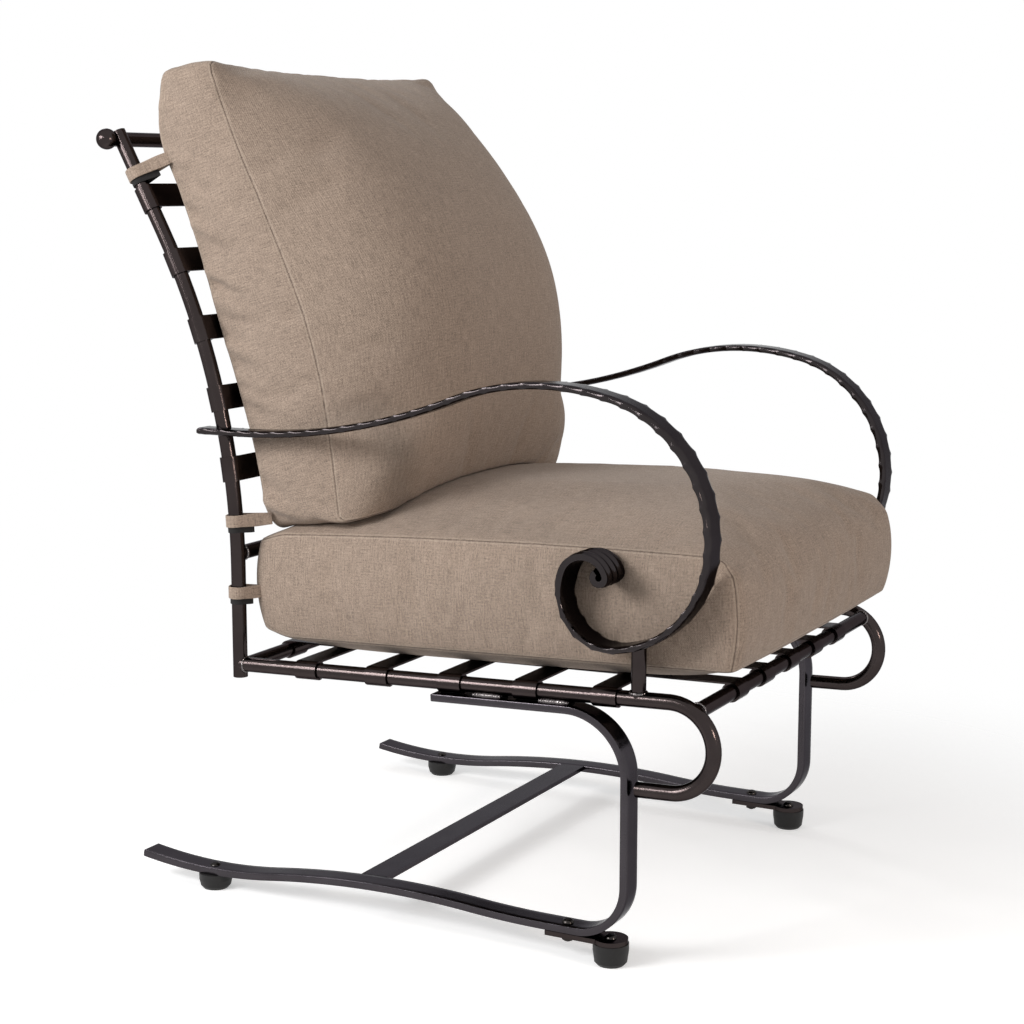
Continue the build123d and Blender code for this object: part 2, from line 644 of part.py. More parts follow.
def cushion_section(x, corners, vias):
    """Four-cornered outline of a cushion in the plane at x, each side a curve through its via points."""
    with BuildSketch(Plane.YZ.offset(x)) as section:
        with BuildLine():
            for index, corner in enumerate(corners):
                after = corners[(index + 1) % len(corners)]
                if len(vias[index]) == 1:
                    ThreePointArc(corner, vias[index][0], after)
                else:
                    Spline(corner, *vias[index], after)
        make_face()
    return section.sketch.face()


def drawn_in(corners, vias, amount):
    """Corners and via points of a four-sided outline with every side moved inwards by amount."""
    points = [Vector(*corner) for corner in corners]
    middle = sum(points, Vector()) / len(points)
    normals = []
    for index, point in enumerate(points):
        along = points[(index + 1) % len(points)] - point
        normal = Vector(-along.Y, along.X).normalized()
        normals.append(normal if normal.dot(middle - point) > 0 else -normal)
    moved = []
    for index, point in enumerate(points):
        before, after = normals[index - 1], normals[index]
        moved.append(point + (before + after) * (amount / (1 + before.dot(after))))
    swollen = [[Vector(*via) + normals[index] * amount for via in side] for index, side in enumerate(vias)]
    return [(m.X, m.Y) for m in moved], [[(v.X, v.Y) for v in side] for side in swollen]


def cushion(half, side_bulge, outline, inset):
    """Crowned cushion lofted across the chair, with its side panels swollen, drawn in on all sides by inset.

    outline(share) gives corners and via points where share of the full crown is reached.
    """
    shares = ((-1.0, 0.0), (-0.88, 0.54), (-0.63, 0.93), (0.0, 1.0), (0.63, 0.93), (0.88, 0.54), (1.0, 0.0))
    drawn = [(across * (half - inset), *drawn_in(*outline(share), inset)) for across, share in shares]
    faces = [cushion_section(*section) for section in drawn]
    caps = []
    for x, corners, vias in (drawn[0], drawn[-1]):
        out = x + side_bulge * (1 if x > 0 else -1)
        seam = cushion_section(x, corners, vias)
        caps.append([seam, cushion_section(out, *drawn_in(corners, vias, CUSHION_CAP_INSET))])
    with BuildPart() as body:
        loft(sections=faces)
        for cap in caps:
            loft(sections=cap, ruled=True)
    return body.part


def seat_outline(share):
    """Side view of the seat cushion where share of its crown is reached."""
    corners = [
        deck(SEAT_REAR, SEAT_LOW_SEAM),
        deck(SEAT_FRONT, SEAT_LOW_SEAM),
        deck(SEAT_FRONT, SEAT_TOP_SEAM),
        deck(SEAT_REAR, SEAT_TOP_SEAM),
    ]
    middle_run = (SEAT_REAR + SEAT_FRONT) / 2
    half_run = (SEAT_FRONT - SEAT_REAR) / 2
    middle_height = (SEAT_LOW_SEAM + SEAT_TOP_SEAM) / 2
    deck_top = STRAP_OUTER + BODY_GAP
    underside = SEAT_LOW_SEAM - SEAT_EDGE_CROWN - (SEAT_LOW_SEAM - SEAT_EDGE_CROWN - deck_top) * share
    top = []
    for along, full in SEAT_TOP_FORM:
        crown = SEAT_EDGE_CROWN * (1 - along**2) + (SEAT_CROWN - SEAT_EDGE_CROWN) * full * share
        top.append(deck(middle_run + along * half_run, SEAT_TOP_SEAM + crown))
    bulge = SEAT_END_BULGE * (0.5 + share / 2)
    vias = [
        [deck(middle_run, underside)],
        [deck(SEAT_FRONT + bulge, middle_height)],
        top,
        [deck(SEAT_REAR - bulge / 2, middle_height)],
    ]
    return corners, vias


BACK_RUNS = (
    (UPRIGHT_LENGTH + BACK_REAR_TOP[0], BACK_REAR_TOP[1]),
    (UPRIGHT_LENGTH + BACK_FRONT_TOP[0], BACK_FRONT_TOP[1]),
    BACK_FRONT_FOOT,
    BACK_REAR_FOOT,
)
beside = [beside_upright(*corner) for corner in BACK_RUNS]
BACK_CORNERS = [Vector(place.Y, place.Z) for place in beside]
middle_beside = beside_upright((BACK_RUNS[0][0] + BACK_RUNS[3][0]) / 2, STRAP_OUTER + BACK_STRAP_ROOM)
BACK_REAR_MIDDLE = Vector(middle_beside.Y, middle_beside.Z)


def back_outline(share):
    """Side view of the back cushion where share of its front crown is reached."""
    rear_top, front_top, front_foot, rear_foot = BACK_CORNERS
    slope = (front_top - front_foot).normalized()
    forward = Vector(-slope.Y, slope.X)
    front = []
    for along, bow, crown in BACK_FRONT_FORM:
        front.append(front_top + (front_foot - front_top) * along + forward * (bow + crown * share))
    front_foot = front_foot + forward * BACK_FOOT_SWELL * share
    corners = [rear_top, front_top, front_foot, rear_foot]
    vias = [
        [(rear_top + front_top) / 2 + slope * BACK_TOP_BOW],
        front,
        [(front_foot + rear_foot) / 2 - slope * BACK_FOOT_BOW],
        [BACK_REAR_MIDDLE],
    ]
    return [(c.X, c.Y) for c in corners], [[(v.X, v.Y) for v in side] for side in vias]


seat_shell = cushion(SEAT_HALF, SEAT_SIDE_BULGE, seat_outline, 0)
seat_lining = cushion(SEAT_HALF, SEAT_SIDE_BULGE, seat_outline, COVER_THICKNESS)
with BuildPart() as seat_cushion_cover:
    add(seat_shell)
    add(seat_lining, mode=Mode.SUBTRACT)
save(seat_cushion_cover.part, "seat_cushion_cover")
seat_core = cushion(SEAT_HALF, SEAT_SIDE_BULGE, seat_outline, COVER_THICKNESS + COVER_FIT)
save(seat_core, "seat_cushion_core")

# The back cushion stands on the seat cushion, so its foot takes the seat's shape
back_layers = {}
for layer, inset in (("shell", 0), ("lining", COVER_THICKNESS), ("core", COVER_THICKNESS + COVER_FIT)):
    padded = cushion(BACK_HALF, BACK_SIDE_BULGE, back_outline, inset)
    seat_room = cushion(SEAT_HALF, SEAT_SIDE_BULGE, seat_outline, -BODY_GAP - inset)
    with BuildPart() as fitted:
        add(padded)
        add(seat_room, mode=Mode.SUBTRACT)
    back_layers[layer] = fitted.part
with BuildPart() as back_cushion_cover:
    add(back_layers["shell"])
    add(back_layers["lining"], mode=Mode.SUBTRACT)
save(back_cushion_cover.part, "back_cushion_cover")
save(back_layers["core"], "back_cushion_core")

# Ties: a loop round the upright whose ends are sewn to the cushion, with a closing pad inside
TIE_INNER = TUBE_R + TIE_FIT + TIE_PAD + TIE_FIT
TIES = (
    ("back_tie_upper", UPRIGHT_LENGTH - UPPER_TIE_FROM_END, UPPER_TIE_REACH, back_layers["shell"]),
    ("back_tie_lower", LOWER_TIE_RUN, LOWER_TIE_REACH, back_layers["shell"]),
    ("seat_tie", SEAT_TIE_RUN, SEAT_TIE_REACH, seat_shell),
)
tie_pads = []
for tie_name, run, reach, padded in TIES:
    for name, side in SIDES:
        plane = upright_plane(side, run)
        forward = 1 if plane.y_dir.Y < 0 else -1
        anchor = (reach[0], forward * reach[1])
        with BuildPart() as tie:
            with BuildSketch(plane):
                Circle(TIE_INNER + TIE_THICKNESS)
                with Locations(anchor):
                    Circle(TIE_END_RADIUS)
                make_hull()
            extrude(amount=TIE_WIDTH / 2, both=True)
            with BuildSketch(plane):
                Circle(TIE_INNER)
                with Locations(anchor):
                    Circle(TIE_END_RADIUS - TIE_THICKNESS)
                make_hull()
            extrude(amount=TIE_WIDTH, both=True, mode=Mode.SUBTRACT)
            add(padded, mode=Mode.SUBTRACT)
        save(tie.part, f"{tie_name}_{name}")

        with BuildPart() as tie_pad:
            with BuildSketch(plane):
                Circle(TUBE_R + TIE_FIT + TIE_PAD)
                Circle(TUBE_R + TIE_FIT, mode=Mode.SUBTRACT)
                with Locations((0, forward * TUBE_OD)):
                    Rectangle(4 * TUBE_OD, 2 * TUBE_OD, mode=Mode.SUBTRACT)
            extrude(amount=TIE_WIDTH / 2 - 1, both=True)
        tie_pads.append(tie_pad.part)
with BuildPart() as closing_pads:
    for pad in tie_pads:
        add(pad)
save(closing_pads.part, "tie_closing_pads")
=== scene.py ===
"""Spring base lounge chair: coated frame, forged arms, spring bars, filled cushions and their ties."""

import json
from math import cos, pi, radians, sin

import bpy
import numpy as np
from mathutils import Matrix, Vector
from mathutils.bvhtree import BVHTree
from mathutils.kdtree import KDTree

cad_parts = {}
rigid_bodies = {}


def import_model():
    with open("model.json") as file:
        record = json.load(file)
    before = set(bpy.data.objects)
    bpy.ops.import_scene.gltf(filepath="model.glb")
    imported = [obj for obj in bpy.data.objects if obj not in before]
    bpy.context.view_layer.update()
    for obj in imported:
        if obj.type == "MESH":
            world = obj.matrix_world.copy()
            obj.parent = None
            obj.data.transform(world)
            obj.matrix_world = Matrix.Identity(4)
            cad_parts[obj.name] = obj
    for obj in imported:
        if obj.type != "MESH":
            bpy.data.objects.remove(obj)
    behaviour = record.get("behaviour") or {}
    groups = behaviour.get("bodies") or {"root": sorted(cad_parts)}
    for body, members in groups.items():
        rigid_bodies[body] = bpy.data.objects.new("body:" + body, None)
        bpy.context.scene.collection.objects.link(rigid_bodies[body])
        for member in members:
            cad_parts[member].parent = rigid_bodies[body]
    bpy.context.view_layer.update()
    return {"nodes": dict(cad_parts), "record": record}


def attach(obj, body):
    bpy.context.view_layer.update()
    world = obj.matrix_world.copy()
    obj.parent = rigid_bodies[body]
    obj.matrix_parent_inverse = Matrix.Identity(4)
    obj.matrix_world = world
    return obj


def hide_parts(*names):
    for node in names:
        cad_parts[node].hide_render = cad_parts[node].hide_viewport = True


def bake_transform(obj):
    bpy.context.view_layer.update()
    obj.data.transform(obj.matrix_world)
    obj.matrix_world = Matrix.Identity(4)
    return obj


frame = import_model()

MM = 0.001
SIDES = (("left", 1), ("right", -1))

# Frame lines that the new pieces follow, in millimetres as in the part's source
FRAME_HALF = 301.0
UPRIGHT_FOOT = (246.0, 293.0)
UPRIGHT_BENDS = ((147.0, 900.0, -28.2), (143.0, 0.0, 0.0))
RAIL_TILT = radians(2.1)
RAIL_REAR = (246.0, 309.5)
ARM_CENTRE = 312.0
ARM_START = (288.5, 614.0)
ARM_BENDS = (
    (62.0, 865.0, -21.0),
    (0.0, 342.0, 36.0),
    (0.0, 164.0, 82.0),
    (0.0, 129.0, 76.0),
    (0.0, 64.0, 97.0),
)
SCROLL_BENDS = ((0.0, 64.0, 26.0), (0.0, 30.0, 136.0), (0.0, 8.0, 250.0))
ARM_WIDTH = 31.75
ARM_THICKNESS = 8.5
EYE_WIDTH = 49.0
BAR_START = (-48.43, 303.08)
BAR_HEADING = 177.9
BAR_BENDS = (
    (182.37, 77.0, 92.1),
    (132.07, 63.0, 90.0),
    (46.0, 1274.0, 4.5),
    (0.0, 1375.0, -4.5),
    (0.0, 1375.0, -8.0),
    (0.0, 688.0, 17.0),
)
BAR_WIDTH = 31.75
BAR_THICKNESS = 9.5


def only(piece):
    """Make one object the selected and active one."""
    bpy.ops.object.select_all(action="DESELECT")
    piece.select_set(True)
    bpy.context.view_layer.objects.active = piece


def points_of(piece):
    """The vertices of a piece as rows of x, y, z."""
    flat = np.empty(len(piece.data.vertices) * 3)
    piece.data.vertices.foreach_get("co", flat)
    return flat.reshape(-1, 3)


def move_points(piece, points):
    """Give the vertices of a piece new places."""
    piece.data.vertices.foreach_set("co", np.ascontiguousarray(points, dtype=np.float64).ravel())
    piece.data.update()


def normals_of(piece):
    """The normals at the vertices of a piece as rows of x, y, z."""
    flat = np.empty(len(piece.data.vertices) * 3)
    piece.data.vertices.foreach_get("normal", flat)
    return flat.reshape(-1, 3)


def join_pieces(pieces, name):
    """Join pieces into the first one and name it."""
    bpy.ops.object.select_all(action="DESELECT")
    for piece in pieces:
        piece.select_set(True)
    bpy.context.view_layer.objects.active = pieces[0]
    bpy.ops.object.join()
    pieces[0].name = name
    return pieces[0]


def finish_piece(piece, material, body=None):
    """Dress a piece and say what it moves with."""
    piece.data.materials.clear()
    piece.data.materials.append(material)
    if body:
        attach(piece, body)


# Materials

def new_material(name):
    """A material with its Principled shader ready."""
    material = bpy.data.materials.new(name)
    material.use_nodes = True
    shader = material.node_tree.nodes["Principled BSDF"]
    return material, material.node_tree, shader


def group_sockets(group, inputs, outputs):
    """Name a node group's sockets; inputs are (name, type, value)."""
    for name, kind, value in inputs:
        socket = group.interface.new_socket(name=name, in_out="INPUT", socket_type=kind)
        socket.default_value = value
    for name, kind in outputs:
        group.interface.new_socket(name=name, in_out="OUTPUT", socket_type=kind)
    return group.nodes.new("NodeGroupInput"), group.nodes.new("NodeGroupOutput")


def maths(tree, operation, first, second=0.0, third=None):
    """One math node; each operand is a number or a socket."""
    node = tree.nodes.new("ShaderNodeMath")
    node.operation = operation
    for index, operand in enumerate((first, second, third)):
        if operand is None:
            continue
        if isinstance(operand, (int, float)):
            node.inputs[index].default_value = operand
        else:
            tree.links.new(operand, node.inputs[index])
    return node.outputs[0]


def noise(tree, vector, scale, detail=2.0, roughness=0.5):
    """One noise texture's value."""
    node = tree.nodes.new("ShaderNodeTexNoise")
    node.inputs["Scale"].default_value = scale
    node.inputs["Detail"].default_value = detail
    node.inputs["Roughness"].default_value = roughness
    tree.links.new(vector, node.inputs["Vector"])
    return node.outputs["Fac"]


def stretched(tree, vector, scale):
    """A vector scaled differently along each axis."""
    node = tree.nodes.new("ShaderNodeMapping")
    node.inputs["Scale"].default_value = scale
    tree.links.new(vector, node.inputs["Vector"])
    return node.outputs["Vector"]


def blend_colours(tree, factor, first, second):
    """Mix two colours; each is a tuple or a socket."""
    node = tree.nodes.new("ShaderNodeMix")
    node.data_type = "RGBA"
    for socket, value in ((node.inputs[0], factor), (node.inputs[6], first), (node.inputs[7], second)):
        if isinstance(value, (int, float)):
            socket.default_value = value
        elif isinstance(value, tuple):
            socket.default_value = (*value, 1.0)
        else:
            tree.links.new(value, socket)
    return node.outputs[2]


def add_bump(tree, shader, height, strength, distance):
    """Raise the shader's surface by a height."""
    bump = tree.nodes.new("ShaderNodeBump")
    bump.inputs["Strength"].default_value = strength
    bump.inputs["Distance"].default_value = distance
    tree.links.new(height, bump.inputs["Height"])
    tree.links.new(bump.outputs["Normal"], shader.inputs["Normal"])


def powder_coat_group():
    """Baked powder coat: fine orange peel, slow mottling and a few dust nibs."""
    group = bpy.data.node_groups.new("Powder coat", "ShaderNodeTree")
    given, out = group_sockets(
        group,
        (
            ("Vector", "NodeSocketVector", (0, 0, 0)),
            ("Deep", "NodeSocketColor", (0.012, 0.008, 0.007, 1)),
            ("Pale", "NodeSocketColor", (0.03, 0.02, 0.018, 1)),
            ("Gloss", "NodeSocketFloat", 0.34),
        ),
        (("Color", "NodeSocketColor"), ("Roughness", "NodeSocketFloat"), ("Height", "NodeSocketFloat")),
    )
    peel = noise(group, given.outputs["Vector"], 520.0, 1.0)
    fleck = noise(group, given.outputs["Vector"], 1900.0, 0.0)
    mottle = noise(group, given.outputs["Vector"], 22.0, 3.0)
    shade = maths(group, "MULTIPLY_ADD", fleck, 0.5, maths(group, "MULTIPLY", mottle, 0.6))
    group.links.new(
        blend_colours(group, shade, given.outputs["Deep"], given.outputs["Pale"]), out.inputs["Color"]
    )
    rough = maths(group, "MULTIPLY_ADD", mottle, 0.10, given.outputs["Gloss"])
    group.links.new(maths(group, "MULTIPLY_ADD", peel, 0.05, rough), out.inputs["Roughness"])
    group.links.new(maths(group, "MULTIPLY_ADD", fleck, 0.35, peel), out.inputs["Height"])
    return group


def weave_group():
    """Plain woven canvas of heathered yarn: crossing threads, slubs along both ways and slow fading."""
    group = bpy.data.node_groups.new("Canvas weave", "ShaderNodeTree")
    given, out = group_sockets(
        group,
        (("Vector", "NodeSocketVector", (0, 0, 0)), ("Pitch", "NodeSocketFloat", 1.25)),
        (("Shade", "NodeSocketFloat"), ("Height", "NodeSocketFloat")),
    )
    cloth = stretched(group, given.outputs["Vector"], (1000.0, 1000.0, 1000.0))
    parts = group.nodes.new("ShaderNodeSeparateXYZ")
    group.links.new(cloth, parts.inputs["Vector"])
    waves = []
    for axis in ("X", "Y"):
        turn = maths(group, "DIVIDE", parts.outputs[axis], given.outputs["Pitch"])
        waves.append(maths(group, "SINE", maths(group, "MULTIPLY", turn, pi)))
    crossing = maths(group, "MULTIPLY", waves[0], waves[1])
    warp = noise(group, stretched(group, cloth, (0.58, 0.050, 1.0)), 1.0, 2.0)
    weft = noise(group, stretched(group, cloth, (0.060, 0.62, 1.0)), 1.0, 1.0)
    slub = maths(group, "MULTIPLY_ADD", warp, 0.95, maths(group, "MULTIPLY", weft, 0.55))
    heather = noise(group, stretched(group, cloth, (0.62, 0.45, 1.0)), 1.0, 2.0, 0.7)
    fading = noise(group, cloth, 0.012, 2.0)
    shade = maths(group, "MULTIPLY_ADD", slub, 0.72, maths(group, "MULTIPLY", heather, 1.3))
    shade = maths(group, "MULTIPLY_ADD", crossing, 0.10, shade)
    shade = maths(group, "MULTIPLY_ADD", fading, 0.12, maths(group, "SUBTRACT", shade, 0.75))
    group.links.new(shade, out.inputs["Shade"])
    group.links.new(maths(group, "MULTIPLY_ADD", slub, 0.6, crossing), out.inputs["Height"])
    return group


POWDER_COAT = powder_coat_group()
CANVAS_WEAVE = weave_group()
# Painted shade: the sunk seam's groove is darkened in the cloth's colour, as though in shade
SEAM_SHADE_HALF = 0.0009
SEAM_SHADE_COLOUR = (0.06, 0.045, 0.036)
# The lighter line beside the seam stands for the stitching and for a painted highlight on the seam's lip
STITCH_AND_HIGHLIGHT_FROM_SEAM = 0.0026
STITCH_AND_HIGHLIGHT_HALF = 0.0007
STITCH_AND_HIGHLIGHT_COLOUR = (0.50, 0.41, 0.33)


def coated_steel(name, deep, pale, gloss, edge):
    """Dark metallic powder coat in one of the frame's shades; edge is its level at a grazing look."""
    material, tree, shader = new_material(name)
    place = tree.nodes.new("ShaderNodeTexCoord")
    coat = tree.nodes.new("ShaderNodeGroup")
    coat.node_tree = POWDER_COAT
    coat.inputs["Deep"].default_value = (*deep, 1.0)
    coat.inputs["Pale"].default_value = (*pale, 1.0)
    coat.inputs["Gloss"].default_value = gloss
    tree.links.new(place.outputs["Object"], coat.inputs["Vector"])
    tree.links.new(coat.outputs["Color"], shader.inputs["Base Color"])
    tree.links.new(coat.outputs["Roughness"], shader.inputs["Roughness"])
    shader.inputs["Metallic"].default_value = 1.0
    shader.inputs["Specular Tint"].default_value = (edge, edge, edge * 1.02, 1.0)
    add_bump(tree, shader, coat.outputs["Height"], strength=0.22, distance=0.0004)
    return material


def canvas(name, dark, light):
    """Heathered canvas; the attribute from_seam paints shade into the seam's groove and, beside it, paints
    a lighter line for the stitching and a highlight on the seam's lip.
    """
    material, tree, shader = new_material(name)
    place = tree.nodes.new("ShaderNodeUVMap")
    place.uv_map = "threads"
    weave = tree.nodes.new("ShaderNodeGroup")
    weave.node_tree = CANVAS_WEAVE
    tree.links.new(place.outputs["UV"], weave.inputs["Vector"])
    cloth = blend_colours(tree, weave.outputs["Shade"], dark, light)
    gap = tree.nodes.new("ShaderNodeAttribute")
    gap.attribute_name = "from_seam"
    # Painted shade along the seam's groove
    seam_shade = maths(tree, "LESS_THAN", gap.outputs["Fac"], SEAM_SHADE_HALF)
    cloth = blend_colours(tree, maths(tree, "MULTIPLY", seam_shade, 0.72), cloth, SEAM_SHADE_COLOUR)
    # Lighter line beside the seam: stitching and a painted highlight on the seam's lip
    beside = maths(tree, "COMPARE", gap.outputs["Fac"], STITCH_AND_HIGHLIGHT_FROM_SEAM, STITCH_AND_HIGHLIGHT_HALF)
    cloth = blend_colours(tree, maths(tree, "MULTIPLY", beside, 0.30), cloth, STITCH_AND_HIGHLIGHT_COLOUR)
    tree.links.new(cloth, shader.inputs["Base Color"])
    shader.inputs["Roughness"].default_value = 0.86
    shader.inputs["Specular IOR Level"].default_value = 0.25
    shader.inputs["Sheen Weight"].default_value = 0.12
    shader.inputs["Sheen Roughness"].default_value = 0.45
    add_bump(tree, shader, weave.outputs["Height"], strength=0.35, distance=0.0005)
    return material


def speckled(name, deep, pale, scale, roughness, strength):
    """Plain moulded or looped surface with a fine grain."""
    material, tree, shader = new_material(name)
    place = tree.nodes.new("ShaderNodeTexCoord")
    grain = noise(tree, place.outputs["Object"], scale, 3.0)
    tree.links.new(blend_colours(tree, grain, deep, pale), shader.inputs["Base Color"])
    tree.links.new(maths(tree, "MULTIPLY_ADD", grain, 0.2, roughness), shader.inputs["Roughness"])
    shader.inputs["Specular IOR Level"].default_value = 0.3
    add_bump(tree, shader, grain, strength, distance=0.0006)
    return material


FRAME_COAT = coated_steel(
    "frame powder coat", deep=(0.025, 0.0190, 0.0185), pale=(0.058, 0.047, 0.046), gloss=0.08, edge=0.45
)
ARM_COAT = coated_steel(
    "arm powder coat", deep=(0.022, 0.0185, 0.0188), pale=(0.053, 0.046, 0.047), gloss=0.08, edge=0.45
)
SPRING_COAT = coated_steel(
    "spring bar powder coat",
    deep=(0.035, 0.0308, 0.0338),
    pale=(0.076, 0.0690, 0.0765),
    gloss=0.11,
    edge=0.46,
)
PLUG_COAT = coated_steel(
    "plug powder coat", deep=(0.022, 0.0168, 0.0163), pale=(0.050, 0.040, 0.039), gloss=0.16, edge=0.45
)
FASTENER_COAT = coated_steel(
    "dark screw plating", deep=(0.020, 0.018, 0.017), pale=(0.050, 0.045, 0.043), gloss=0.12, edge=0.45
)
WELD_COAT = coated_steel(
    "coat over weld beads", deep=(0.060, 0.055, 0.055), pale=(0.220, 0.200, 0.198), gloss=0.06, edge=0.50
)
GLIDE_PLASTIC = speckled(
    "glide plastic",
    deep=(0.006, 0.006, 0.006),
    pale=(0.016, 0.015, 0.015),
    scale=700.0,
    roughness=0.42,
    strength=0.15,
)
CLOSING_PAD = speckled(
    "hook and loop",
    deep=(0.006, 0.006, 0.006),
    pale=(0.022, 0.02, 0.02),
    scale=1500.0,
    roughness=0.75,
    strength=0.8,
)
COVER_CANVAS = canvas("taupe canvas", dark=(0.119, 0.090, 0.071), light=(0.50, 0.385, 0.303))

SLOT_MATERIALS = {
    "frame_steel": FRAME_COAT,
    "spring_steel": SPRING_COAT,
    "plug_steel": PLUG_COAT,
    "fastener_steel": FASTENER_COAT,
    "glide_plastic": GLIDE_PLASTIC,
    "cushion_fabric": COVER_CANVAS,
    "cushion_fill": COVER_CANVAS,
    "closing_pad": CLOSING_PAD,
}
for row in frame["record"]["subparts"]:
    node = frame["nodes"][row["node"]]
    node.data.materials.clear()
    node.data.materials.append(SLOT_MATERIALS[row["material_slot"]])
# The brace has the same shade as the runners that it joins
frame["nodes"]["base_brace"].data.materials[0] = SPRING_COAT


# Bars: made straight along X with the width along Y, worked, then bent on a line in the chair's side view

def straight_bar(name, length, width, thickness, pieces, columns):
    """Flat bar with square edges, cut across into short pieces."""
    bpy.ops.object.select_all(action="DESELECT")
    bpy.ops.mesh.primitive_grid_add(x_subdivisions=pieces, y_subdivisions=columns, size=1, calc_uvs=False)
    bar = bpy.context.object
    bar.name = name
    bpy.ops.object.mode_set(mode="EDIT")
    bpy.ops.mesh.select_all(action="SELECT")
    bpy.ops.transform.resize(value=(length, width, 1))
    bpy.ops.transform.translate(value=(length / 2, 0, -thickness / 2))
    bpy.ops.mesh.extrude_region_move(TRANSFORM_OT_translate={"value": (0, 0, thickness)})
    bpy.ops.mesh.select_all(action="SELECT")
    bpy.ops.mesh.normals_make_consistent(inside=False)
    bpy.ops.object.mode_set(mode="OBJECT")
    return bar


def ease_edges(bar, amount, segments):
    """Round the sharp edges of a bar."""
    only(bar)
    bpy.ops.object.mode_set(mode="EDIT")
    bpy.ops.mesh.select_mode(type="EDGE")
    bpy.ops.mesh.select_all(action="DESELECT")
    bpy.ops.mesh.edges_select_sharp(sharpness=radians(60))
    bpy.ops.mesh.bevel(offset=amount, segments=segments, affect="EDGES")
    bpy.ops.object.mode_set(mode="OBJECT")


def line_length(bends):
    """Length of a line of runs and arcs."""
    return sum(run + radius * radians(abs(turn)) for run, radius, turn in bends)


def bend_along(points, centre, start, heading, bends):
    """Carry points (run, across, to the left) onto a line of runs and arcs in the plane at x = centre."""
    along, across, left = points.T
    y = np.zeros_like(along)
    z = np.zeros_like(along)
    direction = np.zeros_like(along)
    spot = np.array(start)
    angle = radians(heading)
    done = 0.0
    steps = []
    for run, radius, turn in bends:
        if run > 0:
            steps.append((run, 0.0, 0.0))
        if radius > 0:
            steps.append((radius * radians(abs(turn)), radius, radians(turn)))
    for index, (length, radius, turn) in enumerate(steps):
        low = done if index > 0 else -np.inf
        high = done + length if index < len(steps) - 1 else np.inf
        here = (along >= low) & (along < high)
        part = along[here] - done
        if radius == 0:
            y[here] = spot[0] + part * cos(angle)
            z[here] = spot[1] + part * sin(angle)
            direction[here] = angle
            spot = spot + length * np.array((cos(angle), sin(angle)))
        else:
            side = 1 if turn > 0 else -1
            turned = angle + side * part / radius
            y[here] = spot[0] + side * radius * (np.sin(turned) - sin(angle))
            z[here] = spot[1] - side * radius * (np.cos(turned) - cos(angle))
            direction[here] = turned
            after = angle + turn
            spot = spot + side * radius * np.array((sin(after) - sin(angle), cos(angle) - cos(after)))
            angle = after
        done += length
    y = y - left * np.sin(direction)
    z = z + left * np.cos(direction)
    return np.column_stack((centre + across, y, z)) * MM


def face_outwards(piece):
    """Turn all faces of a closed piece outwards."""
    only(piece)
    bpy.ops.object.mode_set(mode="EDIT")
    bpy.ops.mesh.select_all(action="SELECT")
    bpy.ops.mesh.normals_make_consistent(inside=False)
    bpy.ops.object.mode_set(mode="OBJECT")


def smooth_step(value):
    """Ease from 0 to 1."""
    value = np.clip(value, 0.0, 1.0)
    return value * value * (3 - 2 * value)


# Hammer marks along the arms' edges, in millimetres
HAMMER_PITCH = 26.0
HAMMER_PRESS = 1.9
HAMMER_NICK = 0.8
HAMMER_ROUND = 2.6

# Widening of the arm towards its eye: share of the whole, place from the scroll's start, and length
ARM_WIDENS = ((0.46, -880.0, 400.0), (0.14, -210.0, 160.0), (0.4, 0.0, 46.0))
EYE_RIDGES = 3.5
EYE_RIDGE_HEIGHT = 1.1
SMOOTH_BAR_ANGLE = radians(30)


def forged_arm(name, side):
    """Arm with hammered edges, widened into a rolled and grooved eye."""
    main = line_length(ARM_BENDS)
    length = main + line_length(SCROLL_BENDS)
    bar = straight_bar(f"arm_{name}_forged", length, ARM_WIDTH, ARM_THICKNESS, 430, 16)
    ease_edges(bar, 0.9, 2)
    points = points_of(bar)
    along, across, left = points.T
    share = np.abs(across) / (ARM_WIDTH / 2)
    edge = np.where(across > 0, 0.0, HAMMER_PITCH / 2)
    phase = ((along + edge) / HAMMER_PITCH) % 1.0
    dent = 1.0 - np.abs(2 * phase - 1) ** HAMMER_ROUND
    worked = smooth_step((main + 12.0 - along) / 20.0)
    band = np.clip((share - 0.66) / 0.34, 0, 1)
    press = band * (0.2 + HAMMER_PRESS * dent) * worked
    left = left - np.sign(left) * press
    rim = np.clip((share - 0.8) / 0.2, 0, 1)
    across = across - np.sign(across) * rim * HAMMER_NICK * dent * worked
    wide = np.zeros_like(along)
    for part, start, over in ARM_WIDENS:
        wide = wide + part * smooth_step((along - main - start) / over)
    across = across * (1 + (EYE_WIDTH / ARM_WIDTH - 1) * wide)
    rolled = smooth_step((along - main - 24.0) / 26.0)
    ridge = np.cos(share * np.sign(across) * pi * EYE_RIDGES)
    left = left - np.where(left < 0, 1.0, 0.0) * (ridge - 0.3) * EYE_RIDGE_HEIGHT * rolled
    points = np.column_stack((along, across, left))
    move_points(bar, bend_along(points, side * ARM_CENTRE, ARM_START, 180.0, ARM_BENDS + SCROLL_BENDS))
    face_outwards(bar)
    bpy.ops.object.shade_smooth_by_angle(angle=SMOOTH_BAR_ANGLE)
    finish_piece(bar, ARM_COAT, "seat")
    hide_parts(f"arm_{name}")


